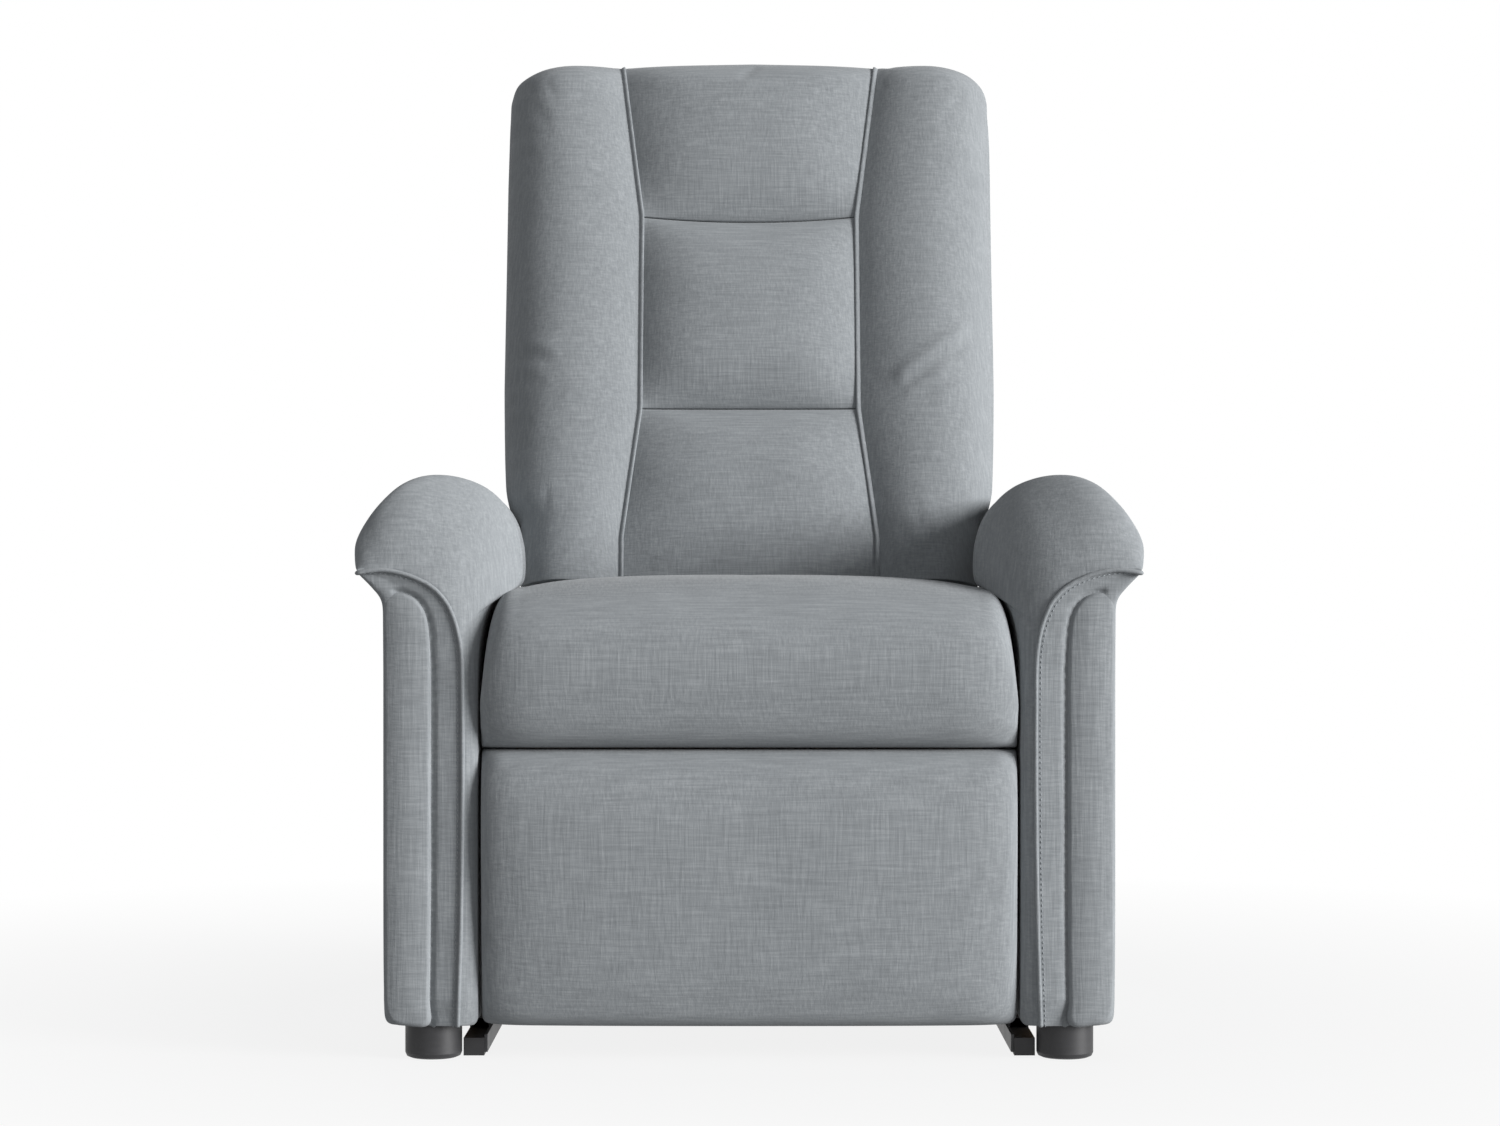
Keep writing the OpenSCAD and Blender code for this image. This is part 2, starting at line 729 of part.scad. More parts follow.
// Hinge plates on the posts, and the lever plates that the recline rod pulls
module back_brackets() {
    lever_end = recline_lever_at - back_hinge;
    turn = [[cos(back_lean), -sin(back_lean)], [sin(back_lean), cos(back_lean)]];
    lever_local = turn * lever_end;
    color(black_steel) placed() in_back() {
        both_sides() difference() {
            union() {
                plate(swing_x)
                    polygon([[-20, 0], [0, -20], [30, -10], [68, 40], [68, 108], [32, 108], [-14, 14]]);
                plate(swing_x) circle(r = 20);
                plate(frame_x, swing_x - frame_x) polygon([[36, 50], [64, 50], [64, 104], [36, 104]]);
            }
            x_bar([0, 0], main_pin_r + pin_clear, swing_x - 1, swing_x + plate_t + 1);
        }
        for (x = [recline_x - 14, recline_x + 10]) plate(x, 4) difference() {
            bar_2d([50, -4], lever_local, 24, 14);
            holes_2d([lever_local], main_pin_r + pin_clear);
        }
        x_bar(lever_local, main_pin_r, recline_x - 18, recline_x + 18);
        box([recline_x - 22, -post_front + 0.5, 6], [recline_x + 22, -post_back - 0.5, 10]);
    }
}

// Half-width of the centre column at a height s up the back
function seam_x(s) = s > high_seam ? ramp(s, high_seam, back_length, seam_half + 2, seam_half + 26)
    : s > low_seam ? ramp(s, low_seam, high_seam, seam_half, seam_half + 2)
    : ramp(s, 125, low_seam, seam_half + 22, seam_half);

// A centre cushion between heights lo and hi up the back, puffed by puff at its middle.
// wrap is how far it reaches back over the top of the frame.
module column_cushion(lo, hi, puff, top_round = 0, wrap = 0) {
    front = back_front_t - 12;
    mid = (lo + hi) / 2;
    half = (hi - lo) / 2;
    turn_s = wrap > 0 ? wrap_from : mid;
    rings = [for (u = spread(12)) concat(
        [[u * (seam_x(turn_s) - 1), cushion_back, turn_s], [u * (seam_x(lo) - 1), cushion_back, lo]],
        [for (w = spread(14)) let (
            s = mid + w * half,
            swell = sqrt(1 - pow(abs(u), 4)) * sqrt(max(0, 1 - pow(abs(w), 4))),
            roll = w > 0 ? top_round * pow(w, 8) : 0)
            [u * (seam_x(s) - 1), -front - puff * swell + roll, s]],
        wrap > 0 ? [[u * (seam_x(hi) - 1), cushion_back + wrap * 0.5, hi - 2],
                    [u * (seam_x(hi) - 1), cushion_back + wrap * 0.85, hi - 13],
                    [u * (seam_x(turn_s) - 1), cushion_back + wrap, turn_s]]
                 : [[u * (seam_x(hi) - 1), cushion_back, hi]])];
    color(fabric_grey) placed() in_back() loft(rings);
}
// Half of the gap between two centre cushions
seam_gap = 0.5;
module headrest_cushion() {
    column_cushion(high_seam + seam_gap, back_length, 16, 22, -rear_face - 6 - cushion_back);
}
module centre_cushion() { column_cushion(low_seam + seam_gap, high_seam - seam_gap, 18); }
module lower_cushion() { column_cushion(24, low_seam - seam_gap, 8); }

bolster_low = 118;
wide_from = 204;
wrap_x = frame_x + 0.4;

// Outer half-width of the back at a height s
function back_half(s) = ramp(s, wide_from - 4, wide_from + 14, low_half, half_back);

// One level ring of a bolster, starting at the inner corner of its rear wrap. Above the frame
// the wrap covers the whole bolster, and the ring draws in to round the top.
function bolster_ring(s) = let (
    k = edge_round(back_length + 1 - s, 42),
    over = s > wrap_from ? 1 : 0,
    thin = 1 - k,
    out = back_half(s) - 44 * thin,
    in = seam_x(s) + 1,
    hold = over > 0 ? in : wrap_x,
    f = back_front_t - 12 - 14 * thin,
    p = 14,
    r = -rear_face - 4 - over * (3 + 0.3 * (s - wrap_from)) - 20 * thin)
    [[hold + over, cushion_back], [hold, r], [out - 12, r],
     [out - 3, r - 10], [out, 40 - 6 * thin], [out, 0], [out - 2, -f * 0.5], [out - 9, -f * 0.85],
     [out - 22, -f - p * 0.55], [out - 44, -f - p * 0.95],
     [(in * 0.45 + out * 0.55), -f - p], [in + 24, -f - p * 0.75],
     [in + 8, -f - p * 0.4], [in, -f + 6], [in, 0]];

module back_bolster(side) {
    wide_to = wide_from + 14;
    top_steps = [39, 28, 20, 12, 6, 2, 0];
    heights = concat([bolster_low, 160, wide_from - 4, wide_to],
                     [for (k = [1:7]) wide_to + k * (wrap_from - wide_to) / 7],
                     [for (d = top_steps) back_length - d]);
    color(fabric_grey) placed() in_back() on_side(side) loft([for (s = heights)
        [for (q = bolster_ring(s)) [q[0], q[1], s]]]);
}
module back_bolster_left() { back_bolster(-1); }
module back_bolster_right() { back_bolster(1); }

// ---- Footrest linkage ----

crank_x = 10;
crank_at = swing_pivot + crank_r * [cos(crank_angle), sin(crank_angle)];

module footrest_drive_tube() {
    color(black_steel) placed() {
        difference() {
            x_bar(swing_pivot, 12, -swing_x, swing_x);
            x_bar(swing_pivot, 9, -swing_x - 1, swing_x + 1);
        }
        both_sides() plate(crank_x, 4) difference() {
            bar_2d(swing_pivot, crank_at, 18, 10);
            translate(swing_pivot) circle(r = 11);
        }
        x_bar(crank_at, crank_pin_r, -crank_x - 4, crank_x + 4);
    }
}

module swing_link(side) {
    color(black_steel) placed() on_side(side) plate(swing_x) difference() {
        union() {
            bar_2d(swing_pivot, knee, 20, 13);
            bar_2d(knee, tilt_root, 18, 11);
        }
        holes_2d([swing_pivot], main_pin_r + pin_clear);
        holes_2d([knee, tilt_root], small_pin_r + pin_clear);
    }
}
module swing_link_left() { swing_link(-1); }
module swing_link_right() { swing_link(1); }

module swing_pins() {
    color(zinc) placed() both_sides() {
        x_bar(knee, small_pin_r, extend_x, swing_x + plate_t);
        x_bar(knee, small_pin_r + 3, extend_x - 1.6, extend_x - 0.2);
        x_bar(knee, small_pin_r + 3, swing_x + plate_t, swing_x + plate_t + 1.5);
        x_bar(tilt_root, small_pin_r, tilt_x, swing_x + plate_t);
        x_bar(tilt_root, small_pin_r + 3, tilt_x - 1.6, tilt_x - 0.2);
        x_bar(tilt_root, small_pin_r + 3, swing_x + plate_t, swing_x + plate_t + 1.5);
    }
}

module extend_links() {
    color(black_steel) placed() both_sides() plate(extend_x) difference() {
        bar_2d(knee, board_pivot, 20, 11);
        holes_2d([knee, board_pivot, control_tip], small_pin_r + pin_clear);
    }
}

module extend_pins() {
    color(zinc) placed() both_sides() {
        x_bar(control_tip, small_pin_r, extend_x, swing_x + plate_t);
        x_bar(control_tip, small_pin_r + 3, extend_x - 1.5, extend_x);
        x_bar(control_tip, small_pin_r + 3, swing_x + plate_t + 0.2, swing_x + plate_t + 1.6);
    }
}

module control_links() {
    color(black_steel) placed() both_sides() plate(swing_x) difference() {
        bar_2d(control_pivot, control_tip, 18, 11);
        holes_2d([control_pivot], main_pin_r + pin_clear);
        holes_2d([control_tip], small_pin_r + 0.5);
    }
}

module tilt_links() {
    color(black_steel) placed() both_sides() plate(tilt_x) difference() {
        bar_2d(tilt_root, tilt_tip, 18, 11);
        holes_2d([tilt_root], small_pin_r + pin_clear);
        holes_2d([tilt_tip], small_pin_r + 1.6);
    }
}

bracket_v = board_v + board_t;

module footrest_brackets() {
    color(black_steel) placed() both_sides() {
        plate(bracket_x) difference() {
            union() {
                polygon([[bracket_v, 135], [bracket_v, 245], [66, 214], [72, 190], [70, 152]]);
                for (p = [board_pivot, tilt_tip]) translate(p) circle(r = 11);
            }
            holes_2d([board_pivot, tilt_tip], small_pin_r + pin_clear);
        }
        box([bracket_x - 22, bracket_v, 135], [bracket_x + plate_t, bracket_v + plate_t, 245]);
    }
}

module footrest_pins() {
    color(zinc) placed() both_sides() {
        x_bar(board_pivot, small_pin_r, bracket_x, extend_x + plate_t);
        x_bar(board_pivot, small_pin_r + 3, bracket_x - 1.6, bracket_x);
        x_bar(board_pivot, small_pin_r + 3, extend_x + plate_t + 0.2, extend_x + plate_t + 1.6);
        x_bar(tilt_tip, small_pin_r, bracket_x, tilt_x + plate_t);
        x_bar(tilt_tip, small_pin_r + 3, bracket_x - 1.6, bracket_x);
        x_bar(tilt_tip, small_pin_r + 3, tilt_x + plate_t + 0.2, tilt_x + plate_t + 1.6);
    }
}

module footrest_board() {
    color(timber) placed()
        box([-half_seat + 20, board_v, panel_low + 12], [half_seat - 20, bracket_v, panel_high - 8]);
}

pad_bulge = 64;

// One side-view ring of the footrest pad at a share u of its half-width
function panel_ring(u, n) = let (
    k = edge_round(1 - abs(u), 0.11),
    mid = (panel_low + panel_high) / 2,
    half = (panel_high - panel_low) / 2 - 9 * (1 - k),
    deep = 22 + (pad_bulge - 22) * k)
    concat([for (w = spread(n)) let (belly = 0.45 + 0.55 * pow(1 - pow(abs(w), 5), 0.6))
                [u * half_seat, board_v - deep * belly, mid + w * half]],
           [[u * half_seat, board_v, mid + half], [u * half_seat, board_v, mid - half]]);

module footrest_pad() {
    shares = [-1, -0.985, -0.965, -0.94, -0.91, -0.87, -0.7, -0.5, -0.25, 0,
              0.25, 0.5, 0.7, 0.87, 0.91, 0.94, 0.965, 0.985, 1];
    color(fabric_grey) placed() loft([for (u = shares) panel_ring(u, 12)]);
}

base_frame();
base_side_plate_left();
base_side_plate_right();
base_glides();
base_pivot_pins();
lift_link_left();
lift_link_right();
lift_torque_tube();
lift_lever_pin();
guide_link_left();
guide_link_right();
lift_motor();
lift_rod();
chassis_plate_left();
chassis_plate_right();
chassis_cross_tubes();
chassis_pivot_pins();
chassis_bolts();
seat_frame();
seat_springs();
seat_spring_clips();
seat_cushion();
arm_frame_left();
arm_frame_right();
arm_inner_left();
arm_inner_right();
arm_outer_left();
arm_outer_right();
arm_front_left();
arm_front_right();
arm_pad_left();
arm_pad_right();
arm_feet();
power_box();
footrest_motor();
footrest_rod();
recline_motor();
recline_rod();
back_frame();
back_webbing();
back_rear_panel();
back_brackets();
headrest_cushion();
centre_cushion();
lower_cushion();
back_bolster_left();
back_bolster_right();
footrest_drive_tube();
swing_link_left();
swing_link_right();
swing_pins();
extend_links();
extend_pins();
control_links();
tilt_links();
footrest_brackets();
footrest_pins();
footrest_board();
footrest_pad();
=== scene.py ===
"""Covers, pads, seams and finishes of a lift recliner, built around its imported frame.

Lengths in this file are millimetres until a mesh is made. A side-view point is (x, v, z): x across,
v the distance behind the front of the arms, z the height above the floor. The back has its own
frame (x, y, s): y rearwards from the hinge line and s up the back.
"""

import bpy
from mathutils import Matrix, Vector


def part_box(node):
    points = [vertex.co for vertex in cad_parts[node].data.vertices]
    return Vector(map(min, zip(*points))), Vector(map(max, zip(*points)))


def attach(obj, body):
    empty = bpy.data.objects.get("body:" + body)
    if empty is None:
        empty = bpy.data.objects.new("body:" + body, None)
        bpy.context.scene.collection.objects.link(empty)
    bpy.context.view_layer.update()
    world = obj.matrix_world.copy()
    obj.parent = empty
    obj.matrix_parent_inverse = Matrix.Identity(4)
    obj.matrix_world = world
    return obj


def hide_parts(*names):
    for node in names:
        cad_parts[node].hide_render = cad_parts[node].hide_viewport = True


bl_info = {
    "name": "Lift recliner upholstery",
    "version": (1, 0, 0),
    "blender": (4, 5, 0),
    "location": "3D View > Sidebar > Recliner",
    "description": "Builds the covers, pads, seams and finishes of a lift recliner around its frame",
    "category": "Object",
}

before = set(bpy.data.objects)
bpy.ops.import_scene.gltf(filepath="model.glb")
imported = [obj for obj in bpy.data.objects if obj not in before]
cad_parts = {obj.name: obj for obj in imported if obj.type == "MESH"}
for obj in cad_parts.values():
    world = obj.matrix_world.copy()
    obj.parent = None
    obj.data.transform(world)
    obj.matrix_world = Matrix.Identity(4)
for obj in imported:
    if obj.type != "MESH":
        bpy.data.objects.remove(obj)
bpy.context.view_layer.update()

from functools import partial

import bpy
import numpy as np
from bpy.props import FloatProperty, PointerProperty, StringProperty
from mathutils import Vector

MM = 1000.0

# Distance from the front of the arms to the middle of the frame
MIDDLE = -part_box("arm_front_right")[0].y * MM

# Hinge of the back, its lean when upright, its top and its two cross seams
HINGE_V, HINGE_Z = 560.0, 330.0
LEAN = np.radians(14.0)
BACK_TOP = 742.0
HIGH_SEAM, LOW_SEAM = 550.0, 320.0


# ---- Numbers to meshes ----


def room(points):
    """Side-view millimetres to the frame's metres: v is moved forward by the frame's middle."""
    return (np.asarray(points, float) - (0.0, MIDDLE, 0.0)) / MM


def joined(*axes):
    """Points from their axes. An axis that is one number is the same for all of them."""
    return np.stack(np.broadcast_arrays(*axes), -1)


def in_back(points):
    """Back millimetres (x, y, s) to side-view millimetres: a turn by the lean about the hinge."""
    x, y, s = np.moveaxis(np.asarray(points, float), -1, 0)
    return joined(x, HINGE_V + y * np.cos(LEAN) + s * np.sin(LEAN),
                  HINGE_Z + s * np.cos(LEAN) - y * np.sin(LEAN))


def resample(path, count, step=None):
    """Evenly spaced points along a polyline (points, axes), by its own steps unless others are given."""
    path = np.asarray(path, float)
    if step is None:
        step = np.linalg.norm(np.diff(path, axis=0), axis=1)
    at = np.concatenate([[0.0], np.cumsum(step + 1e-9)])
    even = np.linspace(0, at[-1], count)
    return np.stack([np.interp(even, at, axis) for axis in path.T], -1)


def smooth_curve(keys, count):
    """A Catmull-Rom curve through key rows, at even steps of its parameter."""
    keys = np.asarray(keys, float)
    ends = np.vstack([2 * keys[0] - keys[1], keys, 2 * keys[-1] - keys[-2]])
    t = np.linspace(0, len(keys) - 1 - 1e-9, count)
    i, f = t.astype(int), (t % 1)[:, None]
    a, b, c, d = ends[i], ends[i + 1], ends[i + 2], ends[i + 3]
    return 0.5 * (2 * b + (c - a) * f + (2 * a - 5 * b + 4 * c - d) * f**2 + (3 * b - a - 3 * c + d) * f**3)


def rounding(distance, radius):
    """How far a quarter-round edge falls back at a distance inside it: radius - sqrt(radius^2 - t^2)."""
    t = np.clip(radius - distance, 0, radius)
    return radius - np.sqrt(radius**2 - t**2)


def ease(value, low, high):
    """0 up to low, 1 from high on, straight in between; falls where high is the smaller."""
    return np.clip((value - low) / (high - low), 0, 1)


def curl(share, power):
    """A superellipse's fall, from 0 to 1 as the share does: 1 - sqrt(1 - share^power)."""
    return 1 - np.sqrt(1 - share**power)


def ridge(distance, width):
    """A rounded ridge over a line: exp(-(distance / width)^2)."""
    return np.exp(-((distance / width) ** 2))


def quarter(count):
    """Even angles over a quarter turn."""
    return np.linspace(0, np.pi / 2, count)


def unit(vectors):
    """Vectors at length 1."""
    return vectors / (np.linalg.norm(vectors, axis=-1, keepdims=True) + 1e-12)


def grid_quads(index):
    """Quads of a grid of vertex numbers, in row then column order."""
    return np.stack([index[:-1, :-1], index[:-1, 1:], index[1:, 1:], index[1:, :-1]], -1).reshape(-1, 4)


def wrapped(index):
    """A grid of vertex numbers whose first column comes again as its last."""
    return np.hstack([index, index[:, :1]])


def upholster(name, mesh, body, side=1, replaces=(), levels=1, material=None):
    """Makes a cover in place on its body, in the cloth unless another material is given. Replaces names
    the CAD solids that it stands for. A mesh on the back is in the back's frame. A closed shape that
    is inside out by its signed volume is turned."""
    points, quads, tris = mesh
    co = np.array(in_back(points) if body == "back" else points, float).reshape(-1, 3)
    co[:, 0] *= side
    co = room(co)
    quads = np.asarray(quads, int).reshape(-1, 4)
    tris = np.asarray(tris, int).reshape(-1, 3)
    fans = np.vstack([tris, quads[:, [0, 1, 2]], quads[:, [0, 2, 3]]])
    a, b, c = co[fans[:, 0]], co[fans[:, 1]], co[fans[:, 2]]
    if np.einsum("ij,ij->i", a, np.cross(b, c)).sum() < 0:
        quads, tris = quads[:, ::-1], tris[:, ::-1]
    made = bpy.data.meshes.new(name)
    made.from_pydata(co.tolist(), [], quads.tolist() + tris.tolist())
    made.polygons.foreach_set("use_smooth", np.full(len(made.polygons), True))
    made.materials.append(material or cover_material())
    obj = bpy.data.objects.new(name, made)
    bpy.context.scene.collection.objects.link(obj)
    if levels:
        finish = obj.modifiers.new("Subdivision", "SUBSURF")
        finish.levels = finish.render_levels = levels
    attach(obj, body)
    if replaces:
        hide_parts(*replaces)
    return obj


def closed_loft(rings, rows=8):
    """A closed solid through equal rings. Each end is closed by rows of straight blends between the
    ring's first half and its second half, read backwards."""
    rings = np.asarray(rings, float)
    m, n, _ = rings.shape
    index = np.arange(m * n).reshape(m, n)
    quads = [grid_quads(wrapped(index))]
    points, tris, total = [rings.reshape(-1, 3)], [], m * n
    half = n // 2
    for end in (0, m - 1):
        one, two = index[end, : half + 1], index[end, (-np.arange(half + 1)) % n]
        t = np.linspace(0, 1, rows + 2)[1:-1, None, None]
        inner = (1 - t) * rings[end][one - end * n][1:-1] + t * rings[end][two - end * n][1:-1]
        grid = np.empty((rows + 2, half + 1), int)
        grid[0], grid[-1] = one, two
        grid[:, 0], grid[:, -1] = one[0], one[-1]
        grid[1:-1, 1:-1] = total + np.arange(rows * (half - 1)).reshape(rows, half - 1)
        total += rows * (half - 1)
        points.append(inner.reshape(-1, 3))
        q = grid_quads(grid).reshape(rows + 1, half, 4)
        middle = q[:, 1:-1].reshape(-1, 4)
        ends = np.vstack([q[:, 0][:, [0, 1, 2]], q[:, -1][:, [0, 1, 3]]])
        quads.append(middle[:, ::-1] if end == 0 else middle)
        tris.append(ends[:, ::-1] if end == 0 else ends)
    return np.vstack(points), np.vstack(quads), np.vstack(tris)


def sweep(path, out, profile):
    """Rings of a profile (across, out) carried along a path, square to it and to its out vectors."""
    along = unit(np.gradient(path, axis=0))
    across = unit(np.cross(along, out))
    up = np.cross(across, along)
    return path[:, None] + across[:, None] * profile[None, :, :1] + up[:, None] * profile[None, :, 1:]


def round_profile(radius, count=10):
    """A circle of points."""
    a = np.linspace(0, 2 * np.pi, count, endpoint=False)
    return joined(radius * np.cos(a), radius * np.sin(a))


SIDES = ((-1, "left"), (1, "right"))
CLOTH_FRAMES = 20


def inflate(obj, free, move, bending):
    """Swells a padded cover: Blender's Cloth under pressure with no gravity, held where free is 0. A
    point moves most * tanh(its move / most), times free, and most is the setting that move names."""
    pads = bpy.context.scene.recliner_pads
    if pads.pressure <= 0:
        return
    mesh, scene = obj.data, bpy.context.scene
    base = np.empty(len(mesh.vertices) * 3)
    mesh.vertices.foreach_get("co", base)
    base = base.reshape(-1, 3)
    held = obj.vertex_groups.new(name="held")
    held.add(np.nonzero(free < 0.05)[0].tolist(), 1.0, "REPLACE")
    for finish in obj.modifiers:
        finish.show_viewport = False
    cloth = obj.modifiers.new("Cloth", "CLOTH")
    obj.modifiers.move(len(obj.modifiers) - 1, 0)
    s = cloth.settings
    s.quality = 5
    s.mass = 0.3
    s.tension_stiffness = s.compression_stiffness = 15
    s.bending_stiffness = bending
    s.use_pressure = True
    s.uniform_pressure_force = pads.pressure
    s.vertex_group_mass = "held"
    s.effector_weights.gravity = 0
    cloth.point_cache.frame_start = 1
    cloth.point_cache.frame_end = CLOTH_FRAMES
    for f in range(1, CLOTH_FRAMES + 1):
        scene.frame_set(f)
    ready = obj.evaluated_get(bpy.context.evaluated_depsgraph_get())
    moved = np.empty(base.size)
    ready.data.vertices.foreach_get("co", moved)
    step = moved.reshape(-1, 3) - base
    length = np.linalg.norm(step, axis=1, keepdims=True) + 1e-12
    most = getattr(pads, move) / MM
    step = step / length * most * np.tanh(length / most) * free[:, None]
    obj.modifiers.remove(cloth)
    obj.vertex_groups.remove(held)
    scene.frame_set(1)
    mesh.vertices.foreach_set("co", (base + step).ravel())
    mesh.update()
    for finish in obj.modifiers:
        finish.show_viewport = True


# ---- Finishes ----


def linear(code):
    """An sRGB hex colour as linear RGBA."""
    c = np.array([int(code.lstrip("#")[k:k + 2], 16) for k in (0, 2, 4)]) / 255.0
    return (*np.where(c <= 0.04045, c / 12.92, ((c + 0.055) / 1.055) ** 2.4), 1.0)


def add(tree, kind, inputs=None, stops=(), **settings):
    """Adds a shader node with its settings. Inputs maps a socket to a value, to the socket that feeds it
    or to a node whose first output does. Stops are a colour ramp's places and hex colours."""
    made = tree.nodes.new("ShaderNode" + kind)
    for key, value in settings.items():
        setattr(made, key, value)
    for key, value in (inputs or {}).items():
        if isinstance(value, bpy.types.Node):
            value = value.outputs[0]
        if isinstance(value, bpy.types.NodeSocket):
            tree.links.new(value, made.inputs[key])
        else:
            made.inputs[key].default_value = value
    while stops and len(made.color_ramp.elements) < len(stops):
        made.color_ramp.elements.new(0.5)
    for k, (place, code) in enumerate(stops):
        made.color_ramp.elements[k].position = place
        made.color_ramp.elements[k].color = linear(code)
    return made


def new_material(name):
    """An empty material, the function that adds its nodes, and the socket of places on the piece."""
    material = bpy.data.materials.new(name)
    material.use_nodes = True
    material.node_tree.nodes.clear()
    node = partial(add, material.node_tree)
    return material, node, node("TexCoord").outputs["Object"]


def surface(node, colour, rough, relief=None, **looks):
    """Ends a material: its colour and roughness, its relief as height, strength and metres of depth, and
    other inputs of its shader."""
    inputs = {"Base Color": colour, "Roughness": rough, **looks}
    if relief:
        height, strength, depth = relief
        inputs["Normal"] = node("Bump", {"Height": height, "Strength": strength, "Distance": depth})
    node("OutputMaterial", {0: node("BsdfPrincipled", inputs)})


def linen_weave(look):
    """Melange polyester linen, plain woven: slubbed threads of light and dark grey run both ways, so
    the eye sees short crossed streaks over an even cool grey, and a dry, matt surface.
    Threads are 0.9 mm apart in the real cloth and are drawn at 1.5 mm, as coarse as they need to be
    to show in a render of the whole chair. Each axis has its own streaks, a noise stretched along it,
    which fade where the surface faces that axis; an even cloud lies over them."""
    material, node, place = new_material(COVER)
    facing = node("SeparateXYZ", {0: node("TexCoord").outputs["Normal"]})
    threads = 0.0
    for axis in range(3):
        size = np.full(3, look.thread_spacing)
        size[axis] = look.slub_length
        run = node("VectorMath", {0: place, 1: tuple(MM / size)}, operation="MULTIPLY")
        thread = node("TexNoise", {"Vector": run, "Scale": 0.62, "Detail": 3.0, "Roughness": 0.62})
        centred = node("Math", {0: thread, 1: 0.5}, operation="SUBTRACT")
        towards = facing.outputs[axis]
        square = node("Math", {0: towards, 1: towards}, operation="MULTIPLY")
        across = node("Math", {0: 1.0, 1: square}, operation="SUBTRACT")
        share = node("Math", {0: across, 1: 2.0}, operation="POWER")
        threads = node("Math", {0: centred, 1: share, 2: threads}, operation="MULTIPLY_ADD")
    cloud = node("TexNoise", {"Vector": place, "Scale": MM / 50, "Detail": 3.0})
    cloud = node("Math", {0: cloud, 1: 0.5}, operation="SUBTRACT")
    tone = node("Math", {0: threads, 1: look.thread_contrast, 2: 0.5}, operation="MULTIPLY_ADD")
    tone = node("Math", {0: cloud, 1: 0.14, 2: tone}, operation="MULTIPLY_ADD")
    tones = [(0.0, look.dark_thread), (0.5, look.ground), (1.0, look.light_thread)]
    surface(node, node("ValToRGB", {0: tone}, tones), 0.92, (threads, 0.35, 0.0009), IOR=1.45,
            **{"Specular IOR Level": 0.18, "Sheen Weight": 0.12, "Sheen Roughness": 0.5})
    return material


def mottled(name, tones, patch, rough, grain, relief, **looks):
    """A hard material. Patch and grain are noises, given as their sizes in mm along x, y and z and their
    settings. The patches set the colour and, times rough's share plus its least value, the roughness.
    The grain gives the relief: a strength and metres of depth."""
    material, node, place = new_material(name)
    noises = []
    for sizes, settings in (patch, grain):
        run = node("VectorMath", {0: place, 1: tuple(MM / np.array(sizes))}, operation="MULTIPLY")
        noises.append(node("TexNoise", {"Vector": run, "Scale": 1.0, **settings}))
    shine = node("Math", {0: noises[0], 1: rough[0], 2: rough[1]}, operation="MULTIPLY_ADD")
    surface(node, node("ValToRGB", {0: noises[0]}, tones), shine, (noises[1], *relief), **looks)
    return material


CLOUDY = {"Detail": 4.0, "Roughness": 0.6}


def painted_steel():
    """Mild steel, laser cut and powder coated black: satin, with an orange peel 1.2 mm across and
    slightly lighter rubbed patches 30 mm across."""
    tones = [(0.3, "#262729"), (0.62, "#2f3033"), (0.8, "#3a3b3e")]
    return mottled("Powder coated steel", tones, ((30, 30, 30), CLOUDY), (0.18, 0.34),
                   ((1.2, 1.2, 1.2), {}), (0.2, 0.0002), IOR=1.5)


def zinc_steel():
    """Turned and drawn steel with bright zinc plate: pale bluish grey metal with faint draw lines
    0.6 mm apart and a cloudy spangle 12 mm across."""
    tones = [(0.25, "#8f949a"), (0.6, "#b3b8bd"), (0.85, "#c8ccd0")]
    return mottled("Zinc plated steel", tones, ((12, 12, 12), CLOUDY), (0.25, 0.22),
                   ((0.6, 20, 20), {"Detail": 1.0}), (0.12, 0.0002), Metallic=1.0)


def moulded_plastic():
    """Injection moulded black polypropylene: a fine spark-eroded grain about 0.4 mm across, drawn at
    1 mm, faint scuffs and a soft broad highlight."""
    tones = [(0.3, "#252527"), (0.6, "#2c2c2e"), (0.85, "#353537")]
    return mottled("Moulded polypropylene", tones, ((20, 20, 6), {"Detail": 3.0}), (0.2, 0.42),
                   ((1, 1, 1), {}), (0.25, 0.0003), IOR=1.49)


def planed_timber(name, axis):
    """Planed beech and pine rails, unfinished: growth lines about 3 mm apart along the rail, fine
    pores and a dry pale brown."""
    material, node, place = new_material(name)
    grains = []
    for across, along, looks in ((9.0, 220.0, {"Detail": 3.0, "Roughness": 0.55}), (0.9, 12.0, {})):
        size = np.full(3, across)
        size[axis] = along
        run = node("VectorMath", {0: place, 1: tuple(MM / size)}, operation="MULTIPLY")
        grains.append(node("TexNoise", {"Vector": run, "Scale": 1.0, **looks}))
    broad, pores = grains
    wave = node("Math", {0: broad, 1: 42.0}, operation="MULTIPLY")
    lines = node("Math", {0: wave}, operation="SINE")
    tone = node("Math", {0: broad, 1: 0.5, 2: 0.22}, operation="MULTIPLY_ADD")
    tone = node("Math", {0: lines, 1: 0.16, 2: tone}, operation="MULTIPLY_ADD")
    pore = node("Math", {0: pores, 1: 0.66}, operation="GREATER_THAN")
    tone = node("Math", {0: pore, 1: -0.14, 2: tone}, operation="MULTIPLY_ADD")
    colour = node("ValToRGB", {0: tone}, [(0.1, "#a07c50"), (0.5, "#c2a179"), (0.9, "#d4b890")])
    surface(node, colour, 0.7, (tone, 0.15, 0.0004), IOR=1.5)
    return material


